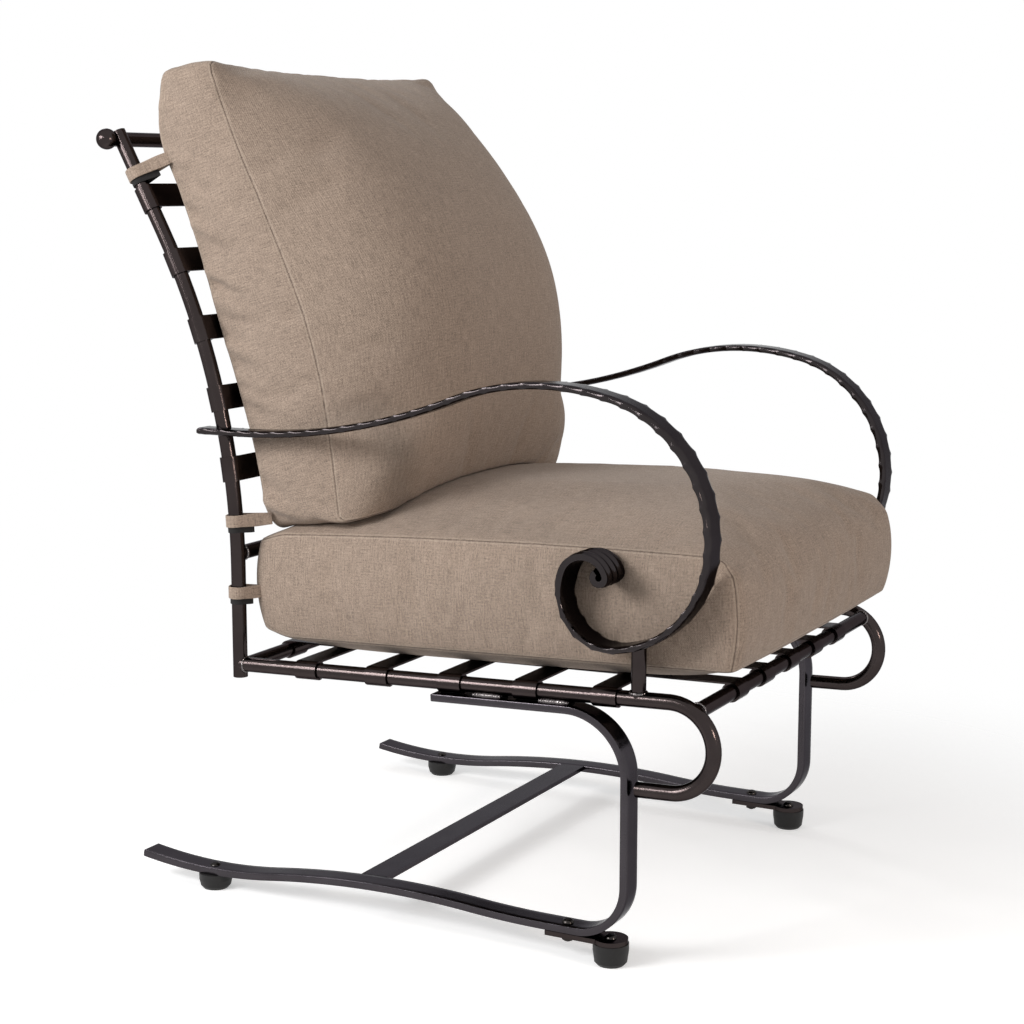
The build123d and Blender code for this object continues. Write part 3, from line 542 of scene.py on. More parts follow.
def spring_bar(name, side):
    """Continuous spring bar, bent in one piece; it stays on the floor at its runner."""
    length = line_length(BAR_BENDS)
    bar = straight_bar(f"spring_bar_{name}_bent", length, BAR_WIDTH, BAR_THICKNESS, 220, 4)
    ease_edges(bar, 1.3, 2)
    centre = side * FRAME_HALF
    move_points(bar, bend_along(points_of(bar), centre, BAR_START, BAR_HEADING, BAR_BENDS))
    face_outwards(bar)
    bpy.ops.object.shade_smooth_by_angle(angle=SMOOTH_BAR_ANGLE)
    finish_piece(bar, SPRING_COAT)
    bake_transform(bar)
    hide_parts(f"spring_bar_{name}")


for side_name, side_sign in SIDES:
    forged_arm(side_name, side_sign)
    spring_bar(side_name, side_sign)


# Cushions: made as a cube from -1 to 1, whose points past EDGE lie on its faces, then shaped and filled

EDGE = 0.999
SEAM_GROOVE = 0.0014
SEAM_DEPTH = 0.0016
FAR_FROM_SEAM = 0.05
FILL_FRAMES = 20
SIDE_SWELL = 5.0


def boxed_cushion(name, across, along, deep):
    """Two grids joined round their edges by a boxing strip, with the seams marked."""
    bpy.ops.object.select_all(action="DESELECT")
    bpy.ops.mesh.primitive_grid_add(x_subdivisions=across, y_subdivisions=along, size=2, calc_uvs=False)
    box = bpy.context.object
    box.name = name
    bpy.ops.object.mode_set(mode="EDIT")
    bpy.ops.mesh.select_mode(type="EDGE")
    bpy.ops.mesh.select_all(action="SELECT")
    bpy.ops.transform.translate(value=(0, 0, 1))
    bpy.ops.mesh.duplicate_move(TRANSFORM_OT_translate={"value": (0, 0, -2)})
    bpy.ops.mesh.select_all(action="DESELECT")
    bpy.ops.mesh.select_non_manifold(extend=False)
    bpy.ops.mesh.mark_seam(clear=False)
    bpy.ops.mesh.bridge_edge_loops(number_cuts=deep - 1)
    bpy.ops.mesh.select_all(action="SELECT")
    bpy.ops.mesh.normals_make_consistent(inside=False)
    bpy.ops.object.mode_set(mode="OBJECT")
    return box


def round_corners(u, v, half_across, half_along, corner):
    """Carry a square from -1 to 1 onto a rectangle with round corners, ring by ring."""
    ring = np.maximum(np.abs(u), np.abs(v))
    safe = np.maximum(ring, 1e-9)
    su, sv = np.abs(u) / safe, np.abs(v) / safe
    on_side = su >= sv

    def along_edge(share, straight):
        run = share * (straight - corner + corner * pi / 4)
        turn = np.clip((run - (straight - corner)) / corner, 0, pi / 4)
        reach = np.minimum(run, straight - corner) + corner * np.sin(turn)
        return reach, corner * (1 - np.cos(turn))

    reach_a, drop_a = along_edge(sv, half_along)
    reach_b, drop_b = along_edge(su, half_across)
    x = np.where(on_side, half_across - drop_a, reach_b)
    y = np.where(on_side, reach_a, half_along - drop_b)
    return np.sign(u) * x * ring, np.sign(v) * y * ring


def through(knots, value):
    """Smooth curve through knots (at, reading), read at value."""
    at = np.array([knot[0] for knot in knots], float)
    reading = np.array([knot[1] for knot in knots], float)
    slope = np.gradient(reading, at)
    value = np.clip(value, at[0], at[-1])
    index = np.clip(np.searchsorted(at, value) - 1, 0, len(at) - 2)
    width = at[index + 1] - at[index]
    t = (value - at[index]) / width
    return (
        (2 * t**3 - 3 * t**2 + 1) * reading[index]
        + (t**3 - 2 * t**2 + t) * width * slope[index]
        + (3 * t**2 - 2 * t**3) * reading[index + 1]
        + (t**3 - t**2) * width * slope[index + 1]
    )


def fill_with_pressure(piece, held, pressure, growth, reach):
    """Blow the cover up over its filling; held gives each point's hold from 0 to 1, reach caps its move."""
    start = points_of(piece)
    grip = piece.vertex_groups.new(name="sewn")
    for index, hold in enumerate(held):
        if hold > 0:
            grip.add([index], float(hold), "REPLACE")
    only(piece)
    cloth = piece.modifiers.new("filling", "CLOTH")
    settings = cloth.settings
    settings.quality = 6
    settings.mass = 0.4
    settings.tension_stiffness = 22
    settings.compression_stiffness = 14
    settings.shear_stiffness = 7
    settings.bending_stiffness = 0.35
    settings.use_pressure = True
    settings.uniform_pressure_force = pressure
    settings.shrink_min = -growth
    settings.vertex_group_mass = "sewn"
    settings.effector_weights.gravity = 0
    cloth.collision_settings.use_collision = False
    scene = bpy.context.scene
    scene.frame_start, scene.frame_end = 1, FILL_FRAMES
    for number in range(1, FILL_FRAMES + 1):
        scene.frame_set(number)
    shaped = piece.evaluated_get(bpy.context.evaluated_depsgraph_get())
    flat = np.empty(len(shaped.data.vertices) * 3)
    shaped.data.vertices.foreach_get("co", flat)
    piece.modifiers.remove(cloth)
    scene.frame_set(1)
    piece.vertex_groups.clear()
    move = flat.reshape(-1, 3) - start
    size = np.linalg.norm(move, axis=1, keepdims=True)
    move_points(piece, start + move * np.minimum(1.0, reach / np.maximum(size, 1e-9)))


def pucker(piece, where, along, share, depth):
    """Draw the boxing in beside its rear seam in small slanted folds; depth in millimetres."""
    place = along + 40.0 * share
    fold = np.sin(place / 4.9 + 0.6) + 0.8 * np.sin(place / 7.7 + 2.1) + 0.6 * np.sin(place / 3.4 + 4.0)
    drawn = 0.7 + 0.3 * np.sin(along / 47.0 + 1.2)
    reach = np.clip(1.05 - share / 0.5, 0.0, 1.0) + 0.3 * np.clip((share - 0.75) / 0.2, 0.0, 1.0)
    amount = np.where(where, fold * drawn * depth * 0.5 * reach, 0.0)
    move_points(piece, points_of(piece) + normals_of(piece) * amount[:, None] * MM)


def open_front(piece, u, v, w):
    """Let the top panel run on down the front: no seam along the front edge, one down each front corner."""
    for edge in piece.data.edges:
        rows = list(edge.vertices)
        if v[rows].min() > EDGE:
            if w[rows].min() > EDGE:
                edge.use_seam = False
            elif np.abs(u[rows]).min() > EDGE:
                edge.use_seam = True


def rolled_front(run, height, edge, top, radius):
    """Roll the upper front edge of a cushion over a radius, ring by ring about the edge."""
    ahead = np.clip(run - (edge - radius), 0, radius)
    above = np.clip(height - (top - radius), 0, radius)
    ring = np.maximum(np.maximum(ahead, above), 1e-9)
    turn = np.where(above >= ahead, ahead / ring * pi / 4, pi / 2 - above / ring * pi / 4)
    rolled = (ahead > 0) & (above > 0)
    run = np.where(rolled, run - ahead + ring * np.sin(turn), run)
    return run, np.where(rolled, height - above + ring * np.cos(turn), height)


def write_from_seam(piece, gaps):
    """Keep each point's distance from the nearest seam, in metres, on a piece."""
    piece.data.attributes.new("from_seam", "FLOAT", "POINT").data.foreach_set("value", gaps)


def sew_seams(piece, groove, depth):
    """Cut a narrow sunk line along the marked seams and round the whole cover once."""
    only(piece)
    bpy.ops.object.mode_set(mode="EDIT")
    bpy.ops.mesh.select_mode(type="EDGE")
    bpy.ops.mesh.select_all(action="DESELECT")
    bpy.ops.object.mode_set(mode="OBJECT")
    for edge in piece.data.edges:
        edge.select = edge.use_seam
    bpy.ops.object.mode_set(mode="EDIT")
    bpy.ops.mesh.bevel(offset=groove, segments=2, affect="EDGES", profile=0.5)
    bpy.ops.mesh.select_less()
    bpy.ops.object.mode_set(mode="OBJECT")
    chosen = np.array([vertex.select for vertex in piece.data.vertices])
    points = points_of(piece)
    points[chosen] -= normals_of(piece)[chosen] * depth
    move_points(piece, points)
    sewn = []
    for edge in piece.data.edges:
        first, second = edge.vertices
        if chosen[first] and chosen[second]:
            steps = np.linspace(0, 1, 12)[:, None]
            sewn.extend(points[first] + (points[second] - points[first]) * steps)
    rounding = piece.modifiers.new("rounding", "SUBSURF")
    rounding.levels = rounding.render_levels = 1
    bpy.ops.object.modifier_apply(modifier=rounding.name)
    tree = KDTree(len(sewn))
    for index, place in enumerate(sewn):
        tree.insert(place, index)
    tree.balance()
    write_from_seam(piece, [min(tree.find(vertex.co)[2], FAR_FROM_SEAM) for vertex in piece.data.vertices])
    bpy.ops.object.shade_smooth()


def mark_panels(piece, u, v, w):
    """Number the faces of a cushion by the cut piece they belong to: 0 side, 1 end, 2 main panel."""
    across, along, deep = np.abs(u), np.abs(v), np.abs(w)
    for face in piece.data.polygons:
        rows = list(face.vertices)
        if deep[rows].min() > EDGE:
            face.material_index = 2
        else:
            face.material_index = 0 if across[rows].min() > EDGE else 1


def lengths_over(points, u, v):
    """Distances over a panel's grid of points from its middle, along both of its ways."""
    order = np.lexsort((u, v))
    wide = len(np.unique(np.round(u, 4)))
    grid = points[order].reshape(-1, wide, 3)
    lengths = np.empty((len(points), 2))
    for column, axis in ((0, 1), (1, 0)):
        steps = np.linalg.norm(np.diff(grid, axis=axis), axis=2)
        pad = [(0, 0), (0, 0)]
        pad[axis] = (1, 0)
        run = np.cumsum(np.pad(steps, pad), axis=axis)
        middle = np.take(run, [run.shape[axis] // 2], axis=axis)
        lengths[order, column] = (run - middle).ravel()
    return lengths


def write_threads(piece, uv):
    """Keep the threads' map, in metres, on a piece."""
    piece.data.uv_layers.new(name="threads").data.foreach_set("uv", np.ascontiguousarray(uv).ravel())


def face_corners(mesh):
    """The point and the face of every face corner."""
    corners = np.empty(len(mesh.loops), dtype=np.int32)
    mesh.loops.foreach_get("vertex_index", corners)
    counts = np.empty(len(mesh.polygons), dtype=np.int32)
    mesh.polygons.foreach_get("loop_total", counts)
    return corners, np.repeat(np.arange(len(counts)), counts)


def lay_canvas(piece, axes, u, v, w):
    """Lay the cloth's threads over a cushion: by length on the main panels, flat on the boxing strips."""
    mesh = piece.data
    points = points_of(piece)
    flat = points @ np.array(axes).T
    over = np.zeros((len(points), 2))
    for face in (-1, 1):
        rows = np.flatnonzero(w * face > EDGE)
        over[rows] = lengths_over(points[rows], u[rows], v[rows])
    corners, owner = face_corners(mesh)
    kinds = np.empty(len(mesh.polygons), dtype=np.int32)
    mesh.polygons.foreach_get("material_index", kinds)
    kind = kinds[owner]
    uv = np.where((kind == 0)[:, None], flat[corners][:, (1, 2)], flat[corners][:, (0, 2)])
    uv = np.where((kind == 2)[:, None], over[corners], uv)
    mesh.polygons.foreach_set("material_index", np.zeros_like(kinds))
    write_threads(piece, uv)


def lay_band(piece, axes):
    """Lay the cloth's threads flat on each face of a band."""
    mesh = piece.data
    flat = points_of(piece) @ np.array(axes).T
    corners, owner = face_corners(mesh)
    normals = np.empty(len(mesh.polygons) * 3)
    mesh.polygons.foreach_get("normal", normals)
    facing = np.abs(normals.reshape(-1, 3) @ np.array(axes).T).argmax(axis=1)[owner]
    pairs = np.array(((1, 2), (0, 2), (0, 1)))[facing]
    rows = np.arange(len(corners))
    laid = flat[corners]
    write_threads(piece, np.column_stack((laid[rows, pairs[:, 0]], laid[rows, pairs[:, 1]])))


DECK_FORWARD = Vector((0, -cos(RAIL_TILT), sin(RAIL_TILT)))
DECK_UP = Vector((0, sin(RAIL_TILT), cos(RAIL_TILT)))
SEAT_HALF = 280.0
SEAT_MIDDLE = 350.0
SEAT_REACH = 329.0
SEAT_LOW_SEAM = 34.0
SEAT_TOP_SEAM = 169.0
SEAT_CORNER = 14.0
SEAT_TOP_BOW = 6.0
SEAT_CROWN = 26.0
SEAT_ROLL = 26.0
SEAT_REAR_ROUNDING = 9.0
SEAT_FRONT_SWELL = 11.0
SEAT_REAR_SWELL = 7.0
SEAT_SAG = 40.0
DECK_TOP = 13.0


def deck(x, run, height):
    """Points of the seat deck: across, forward of the uprights along the rail, and over the rail's axis."""
    rear = np.array((0, *RAIL_REAR))
    rows = np.outer(run, np.array(DECK_FORWARD)) + np.outer(height, np.array(DECK_UP)) + rear
    rows[:, 0] += x
    return rows * MM


def seat_cushion():
    """Thick boxed seat cushion, crowned on top and flat where it lies on the straps."""
    piece = boxed_cushion("seat_cushion", 52, 60, 14)
    u, v, w = points_of(piece).T
    x, run = round_corners(u, v, SEAT_HALF, SEAT_REACH, SEAT_CORNER)
    px, pr = np.abs(x) / SEAT_HALF, np.abs(run) / SEAT_REACH
    bow = SEAT_TOP_BOW * (1 - pr**2)
    low = np.maximum(DECK_TOP, SEAT_LOW_SEAM - SEAT_SAG * (1 - px**4) * (1 - pr**6))
    boxing = np.abs(w) < EDGE
    middle = SEAT_LOW_SEAM + (SEAT_TOP_SEAM + bow - SEAT_LOW_SEAM) * (w + 1) / 2
    height = np.where(w < -EDGE, low, middle)
    height = height - SEAT_REAR_ROUNDING * smooth_step((-run / SEAT_REACH - 0.86) / 0.14) * (w - 0.1)
    swell = np.where(boxing, 1 - w**2, 0.0)
    x = x + np.sign(x) * SIDE_SWELL * swell * smooth_step((px - 0.8) / 0.2)
    rear = smooth_step((-run / SEAT_REACH - 0.8) / 0.2)
    front = smooth_step((run / SEAT_REACH - 0.8) / 0.2)
    full = np.clip(1 - px**4, 0, 1) ** 0.85 * np.clip(1 - pr**3.2, 0, 1) ** 0.85
    run, height = rolled_front(run, height, SEAT_REACH, SEAT_TOP_SEAM, SEAT_ROLL)
    run = run + (SEAT_FRONT_SWELL * front - SEAT_REAR_SWELL * rear) * swell
    height = height + np.where(w > EDGE, SEAT_CROWN * full, 0.0)
    move_points(piece, deck(x, SEAT_MIDDLE + run, height))
    mark_panels(piece, u, v, w)
    open_front(piece, u, v, w)
    face_outwards(piece)
    sewn = (np.abs(w) > EDGE) & (np.maximum(np.abs(u), np.abs(v)) > EDGE)
    sewn = np.where(v > EDGE, (w < -EDGE) | (np.abs(u) > EDGE), sewn)
    held = np.where(sewn, 0.9, np.where(w < -EDGE, 1.0, 0.0))
    fill_with_pressure(piece, held, pressure=4.0, growth=0.012, reach=0.024)
    lay_canvas(piece, ((1, 0, 0), DECK_FORWARD, DECK_UP), u, v, w)
    sew_seams(piece, SEAM_GROOVE, SEAM_DEPTH)
    finish_piece(piece, COVER_CANVAS, "seat")
    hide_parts("seat_cushion_cover", "seat_cushion_core")
    return piece


BACK_HALF = 280.0
BACK_RISE = (184.0, 562.0)
BACK_TOP_CORNER = 13.0
BACK_FOOT_CORNER = 23.0
BACK_FULLNESS = 1.07
BACK_TOP_LIFT = 4.0
BACK_TOP_SAG = 9.0
PUCKER_DEPTH = 15.0

# The back cushion's seams in side view, from its foot at -1 to its top at 1: place, rearward and up
FRONT_SEAM = (
    (-1.0, 104.0, 500.0),
    (-0.7, 114.0, 583.0),
    (-0.4, 128.0, 670.0),
    (-0.1, 150.0, 751.0),
    (0.2, 183.0, 831.0),
    (0.48, 219.0, 909.0),
    (0.76, 257.0, 989.0),
    (1.0, 292.0, 1080.0),
)
REAR_SEAM = (
    (-1.0, 213.0, 482.0),
    (-0.7, 232.0, 582.0),
    (-0.4, 256.0, 664.0),
    (-0.1, 285.0, 750.0),
    (0.2, 313.0, 838.0),
    (0.48, 341.0, 912.0),
    (0.76, 372.0, 990.0),
    (1.0, 367.0, 1064.0),
)
# How far the middle of the back cushion's front stands out from its seam, from foot to top
FRONT_FULL = (
    (-1.0, 46.0),
    (-0.9, 62.0),
    (-0.64, 96.0),
    (-0.26, 122.0),
    (0.2, 127.0),
    (0.46, 111.0),
    (0.64, 94.0),
    (0.84, 65.0),
    (0.94, 33.0),
    (1.0, 0.0),
)


def settle_on(piece, below, gap):
    """Lift the points of a cushion that would sink into the one it stands on."""
    bed = BVHTree.FromObject(below, bpy.context.evaluated_depsgraph_get())
    points = points_of(piece)
    for place in points:
        hit = bed.ray_cast(Vector((place[0], place[1], 0.8)), Vector((0, 0, -1)))
        if hit[0] is not None:
            place[2] = max(place[2], hit[0].z + gap)
    move_points(piece, points)


def back_cushion(seat):
    """Tall back cushion, full in front, curved along the straps behind, standing on the seat cushion."""
    piece = boxed_cushion("back_cushion", 52, 60, 12)
    u, v, w = points_of(piece).T
    corner = np.where(v > 0, BACK_TOP_CORNER, BACK_FOOT_CORNER - BACK_TOP_CORNER * w)
    x, up = round_corners(u, v, BACK_HALF, BACK_HALF, corner)
    px, pv = np.abs(x) / BACK_HALF, up / BACK_HALF
    front = [through([(k[0], k[i]) for k in FRONT_SEAM], pv) for i in (1, 2)]
    rear = [through([(k[0], k[i]) for k in REAR_SEAM], pv) for i in (1, 2)]
    slope = np.array(BACK_RISE)
    slope = slope / np.linalg.norm(slope)
    forward = np.array((-slope[1], slope[0]))
    square = 4.0 + 7.0 * smooth_step((-pv - 0.55) / 0.4)
    full = through(FRONT_FULL, pv) * np.clip(1 - px**square, 0, 1) ** 0.9
    face = np.where(w > EDGE, BACK_FULLNESS, 0.0)
    foot = smooth_step((-0.9 - pv) / 0.1) * BACK_FULLNESS * full
    share = (w + 1) / 2
    y = rear[0] + (front[0] - rear[0]) * share
    z = rear[1] + (front[1] - rear[1]) * share
    boxing = np.abs(w) < EDGE
    swell = np.where(boxing, 1 - w**2, 0.0)
    outward = np.where(boxing, 0.0, full * face) + np.where(boxing, foot * share, 0.0)
    y = y + forward[0] * outward
    z = z + forward[1] * outward
    lift = swell * BACK_TOP_LIFT * smooth_step((pv - 0.85) / 0.15)
    y, z = y + slope[0] * lift, z + slope[1] * lift
    z = z - BACK_TOP_SAG * smooth_step((pv - 0.7) / 0.3) * (1 - px**3)
    x = x + np.sign(x) * SIDE_SWELL * swell * smooth_step((px - 0.8) / 0.2)
    move_points(piece, np.column_stack((x, y, z)) * MM)
    mark_panels(piece, u, v, w)
    face_outwards(piece)
    seam = (np.abs(w) > EDGE) & (np.maximum(np.abs(u), np.abs(v)) > EDGE)
    held = np.where(seam, 0.9, np.where(w < -EDGE, 1.0, 0.0))
    fill_with_pressure(piece, held, pressure=4.0, growth=0.015, reach=0.026)
    settle_on(piece, seat, gap=0.001)
    pucker(piece, (px > 0.97) & boxing, up, share, PUCKER_DEPTH)
    lay_canvas(piece, ((1, 0, 0), (0, slope[0], slope[1]), (0, forward[0], forward[1])), u, v, w)
    sew_seams(piece, SEAM_GROOVE, SEAM_DEPTH)
    finish_piece(piece, COVER_CANVAS, "seat")
    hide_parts("back_cushion_cover", "back_cushion_core")


back_cushion(seat_cushion())


# Ties: a folded canvas band looped round the upright, with a black closing pad inside

TIE_WIDTH = 16.0
TIE_THICKNESS = 1.8
TIE_LOOP = 12.4
TIE_FROM_SEAM = 0.02
PAD_WIDTH = 19.0
PAD_THICKNESS = 1.1
PAD_LOOP = 10.6
PAD_DROP = 6.0
UPRIGHT_RUN = line_length(UPRIGHT_BENDS)
TIES = (
    ("back_tie_upper", UPRIGHT_RUN - 61.0, (23.0, 54.0)),
    ("back_tie_lower", 205.0, (23.0, 40.0)),
    ("seat_tie", 112.0, (23.0, 27.0)),
)


def beside_upright(side, run):
    """An upright at a run along it: a point in metres, and the inward, forward and along directions."""
    rows = np.array(((run, 0.0, 0.0), (run, 0.0, 1.0)))
    axis, ahead = bend_along(rows, side * FRAME_HALF, UPRIGHT_FOOT, 90.0, UPRIGHT_BENDS)
    forward = (ahead - axis) / MM
    inward = np.array((-side, 0.0, 0.0))
    return axis, inward, forward, np.cross(forward, inward)


def band_round_upright(name, side, run, anchor, radius, width, thickness):
    """Flat band from its sewn ends at the anchor round the upright and back."""
    reach = np.hypot(*anchor)
    side_run = (reach**2 - radius**2) ** 0.5
    opening = np.degrees(np.arcsin(radius / reach))
    towards = np.degrees(np.arctan2(-anchor[1], -anchor[0]))
    bends = ((side_run, radius, 180.0 + 2 * opening), (side_run, 0.0, 0.0))
    band = straight_bar(name, line_length(bends), width, thickness, 70, 6)
    ease_edges(band, 0.5, 2)
    local = bend_along(points_of(band), 0.0, anchor, towards - opening, bends)
    axis, inward, forward, along = beside_upright(side, run)
    puff = 1 + 0.05 * np.sin(local[:, 1] / MM * 0.21)
    points = axis + np.outer(local[:, 0] * puff, along) + np.outer(local[:, 1], inward)
    move_points(band, points + np.outer(local[:, 2], forward))
    face_outwards(band)
    bpy.ops.object.shade_smooth_by_angle(angle=radians(40))
    return band


def sew_ties():
    """The six ties, and their closing pads joined as one piece."""
    pads = []
    for tie_name, run, anchor in TIES:
        for side_name, side in SIDES:
            name = f"{tie_name}_{side_name}"
            band = band_round_upright(f"{name}_band", side, run, anchor, TIE_LOOP, TIE_WIDTH, TIE_THICKNESS)
            axis, inward, forward, along = beside_upright(side, run)
            lay_band(band, (tuple(inward), tuple(forward), tuple(along)))
            write_from_seam(band, [TIE_FROM_SEAM] * len(band.data.vertices))
            finish_piece(band, COVER_CANVAS, "seat")
            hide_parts(name)
            near = (anchor[0] * 0.4, anchor[1] * 0.4 + 5.0)
            place = (side, run - PAD_DROP, near)
            pads.append(band_round_upright(f"{name}_pad", *place, PAD_LOOP, PAD_WIDTH, PAD_THICKNESS))
    looped = join_pieces(pads, "tie_closing_pads_looped")
    finish_piece(looped, CLOSING_PAD, "seat")
    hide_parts("tie_closing_pads")


sew_ties()


# Weld beads, rippled as the torch moved along

def rippled_bead(place, direction, length, radius, seed):
    """Straight bead, fuller in the middle, with overlapping ripples."""
    bpy.ops.object.select_all(action="DESELECT")
    bpy.ops.mesh.primitive_uv_sphere_add(segments=14, ring_count=60, radius=1.0, calc_uvs=False)
    bead = bpy.context.object
    points = points_of(bead)
    drawn = np.random.default_rng(seed)
    lumps = drawn.uniform(0.82, 1.18, 40)
    t = points[:, 2] * length / 2
    ripple = np.abs(np.sin(pi * t / 3.4)) * 0.28 + 0.82
    lump = np.interp(t, np.linspace(-length / 2, length / 2, 40), lumps)
    ring = np.hypot(points[:, 0], points[:, 1])
    full = np.where(ring > 1e-6, np.clip(ring, 0, 1) ** 0.35 / np.maximum(ring, 1e-6), 0.0)
    scale = radius * ripple * lump * full
    local = np.column_stack((points[:, 0] * scale, points[:, 1] * scale, t)) * MM
    turn = np.array(Vector(direction).to_track_quat("Z", "Y").to_matrix())
    move_points(bead, local @ turn.T + np.array(place) * MM)
    return bead


def ring_bead(place, direction, across, radius, seed):
    """Bead round a tube or post, with overlapping ripples."""
    bpy.ops.object.select_all(action="DESELECT")
    bpy.ops.mesh.primitive_torus_add(
        major_segments=72, minor_segments=10, major_radius=1.0, minor_radius=0.2, generate_uvs=False
    )
    bead = bpy.context.object
    points = points_of(bead)
    drawn = np.random.default_rng(seed)
    angle = np.arctan2(points[:, 1], points[:, 0])
    ring = np.hypot(points[:, 0], points[:, 1])
    lumps = drawn.uniform(0.8, 1.2, 36)
    lump = np.interp(angle, np.linspace(-pi, pi, 36), np.append(lumps[:-1], lumps[0]))
    ripple = np.abs(np.sin(angle * 9)) * 0.3 + 0.8
    thick = radius / 0.2 * lump * ripple
    rim = across + (ring - 1.0) * thick
    local = np.column_stack((np.cos(angle) * rim, np.sin(angle) * rim, points[:, 2] * thick)) * MM
    turn = np.array(Vector(direction).to_track_quat("Z", "Y").to_matrix())
    move_points(bead, local @ turn.T + np.array(place) * MM)
    return bead


def join_beads(beads, name):
    """Join beads into one finished piece on the seat frame."""
    piece = join_pieces(beads, name)
    face_outwards(piece)
    bpy.ops.object.shade_smooth()
    return piece


# Places of the beads in millimetres, as the frame's lines have them
PLATE_BEAD_RUNS = (369.5, 460.0)
PLATE_BEAD_SPREAD = 8.0
PLATE_BEAD_HEIGHT = -10.6
PLATE_BEAD_LENGTH = 40.0
PLATE_BEAD_RADIUS = 4.3
POST_RUN = 568.0
POST_BEAD_HEIGHT = 8.2
TUBE_RIM = 9.4
TUBE_BEAD_RADIUS = 1.7
CROSS_TUBE_ENDS = ((291.4, 245.9, 306.5, 45), (291.4, 246.1, 455.0, 51), (291.8, -393.0, 322.5, 55))


def deck_place(x, run, height):
    """One place on the seat deck, in millimetres."""
    return deck(np.array([x]), np.array([run]), np.array([height]))[0] / MM


def weld_the_frame():
    """Beads between the spring bars and rails, and round the joints of posts and tubes."""
    forward = tuple(DECK_FORWARD)
    plate, joints = [], []
    for _, side in SIDES:
        for number, run in enumerate(PLATE_BEAD_RUNS):
            for edge in (-PLATE_BEAD_SPREAD, PLATE_BEAD_SPREAD):
                place = deck_place(side * FRAME_HALF + edge, run, PLATE_BEAD_HEIGHT)
                seed = 10 * number + int(edge) + side + 20
                plate.append(rippled_bead(place, forward, PLATE_BEAD_LENGTH, PLATE_BEAD_RADIUS, seed))
        post = deck_place(side * FRAME_HALF, POST_RUN, POST_BEAD_HEIGHT)
        joints.append(ring_bead(post, (0, 0, 1), 9.6, 2.0, 41 + side))
        for x, y, z, seed in CROSS_TUBE_ENDS:
            joints.append(ring_bead((side * x, y, z), (1, 0, 0), TUBE_RIM, TUBE_BEAD_RADIUS, seed + side))
        rail_end = (side * FRAME_HALF, 236.8, 309.8)
        joints.append(ring_bead(rail_end, forward, TUBE_RIM, TUBE_BEAD_RADIUS, 61 + side))
    beads = join_beads(plate, "spring_bar_weld_beads")
    finish_piece(beads, WELD_COAT, "seat")
    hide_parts("spring_bar_welds")
    finish_piece(join_beads(joints, "joint_weld_beads"), WELD_COAT, "seat")


weld_the_frame()


# Studio: pale floor, soft light from the sitter's right, and the photograph's view

LAMP_TARGET = (0, 0, 0.5)
WORLD_LEVEL = 0.45
FLOOR_GLOW = 0.42
FLOOR_SIZE = 2.6


def seen_plainly(tree):
    """1 where the camera, a reflection or clear material looks, 0 for other light."""
    path = tree.nodes.new("ShaderNodeLightPath")
    seen = maths(tree, "MAXIMUM", path.outputs["Is Camera Ray"], path.outputs["Is Glossy Ray"])
    return maths(tree, "MAXIMUM", seen, path.outputs["Is Transmission Ray"])


def soft_lamp(name, place, size, power, colour=(1.0, 1.0, 1.0)):
    """Area lamp turned to the chair; size is its width and height."""
    data = bpy.data.lights.new(name, "AREA")
    data.shape = "RECTANGLE"
    data.size, data.size_y = size
    data.energy = power
    data.color = colour
    lamp = bpy.data.objects.new(name, data)
    bpy.context.scene.collection.objects.link(lamp)
    lamp.location = place
    lamp.rotation_euler = (Vector(LAMP_TARGET) - Vector(place)).to_track_quat("-Z", "Y").to_euler()


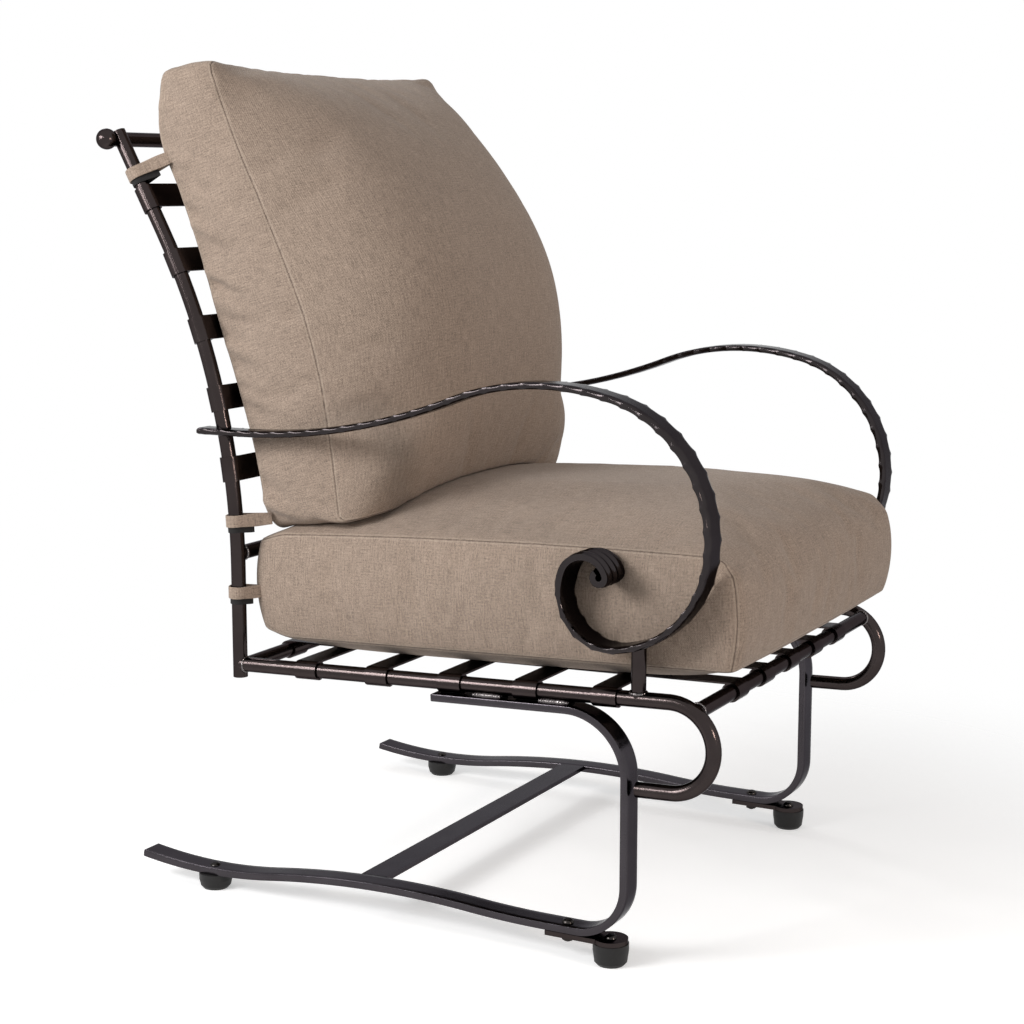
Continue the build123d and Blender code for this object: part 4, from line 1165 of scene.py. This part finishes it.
def studio():
    """White surroundings for the camera and for reflections, a softer level for the rest."""
    scene = bpy.context.scene
    scene.view_settings.view_transform = "Standard"
    world = bpy.data.worlds.new("studio")
    scene.world = world
    world.use_nodes = True
    tree = world.node_tree
    background = tree.nodes["Background"]
    background.inputs["Color"].default_value = (1.0, 1.0, 1.0, 1.0)
    strength = maths(tree, "MULTIPLY_ADD", seen_plainly(tree), 1.0 - WORLD_LEVEL, WORLD_LEVEL)
    tree.links.new(strength, background.inputs["Strength"])

    bpy.ops.object.select_all(action="DESELECT")
    bpy.ops.mesh.primitive_plane_add(size=FLOOR_SIZE)
    floor = bpy.context.object
    floor.name = "floor"
    material, tree, shader = new_material("pale floor")
    shader.inputs["Base Color"].default_value = (0.82, 0.82, 0.82, 1.0)
    shader.inputs["Roughness"].default_value = 1.0
    shader.inputs["Specular IOR Level"].default_value = 0.0
    shader.inputs["Emission Color"].default_value = (1.0, 1.0, 1.0, 1.0)
    glow = maths(tree, "MULTIPLY", seen_plainly(tree), FLOOR_GLOW)
    tree.links.new(glow, shader.inputs["Emission Strength"])
    spot = tree.nodes.new("ShaderNodeTexCoord")
    far = tree.nodes.new("ShaderNodeVectorMath")
    far.operation = "LENGTH"
    tree.links.new(spot.outputs["Object"], far.inputs[0])
    fade = tree.nodes.new("ShaderNodeMapRange")
    fade.interpolation_type = "SMOOTHSTEP"
    for socket, value in (("From Min", 0.55), ("From Max", 1.3), ("To Min", 1.0), ("To Max", 0.0)):
        fade.inputs[socket].default_value = value
    tree.links.new(far.outputs["Value"], fade.inputs["Value"])
    tree.links.new(fade.outputs["Result"], shader.inputs["Alpha"])
    floor.data.materials.append(material)

    soft_lamp("key", (-2.5, 1.5, 1.65), (1.1, 1.1), 54.0)
    soft_lamp("strip", (-2.3, 1.2, 1.8), (2.4, 0.09), 24.0)
    soft_lamp("fill", (-0.9, -3.2, 1.2), (0.4, 0.4), 28.0, (1.0, 0.86, 0.76))
    soft_lamp("back", (1.6, 2.4, 2.6), (0.4, 0.4), 7.0)


def camera():
    """The photograph's view."""
    data = bpy.data.cameras.new("photo view")
    data.lens = 72.02
    data.sensor_width = 36.0
    eye = bpy.data.objects.new("photo view", data)
    bpy.context.scene.collection.objects.link(eye)
    right = Vector((0.47110, -0.88208, 0.0))
    up = Vector((0.14002, 0.07478, 0.98733))
    back = right.cross(up)
    place = Vector((-2.4250, -1.2883, 0.9266))
    eye.matrix_world = Matrix.Translation(place) @ Matrix((right, up, back)).transposed().to_4x4()
    bpy.context.scene.camera = eye


studio()
camera()
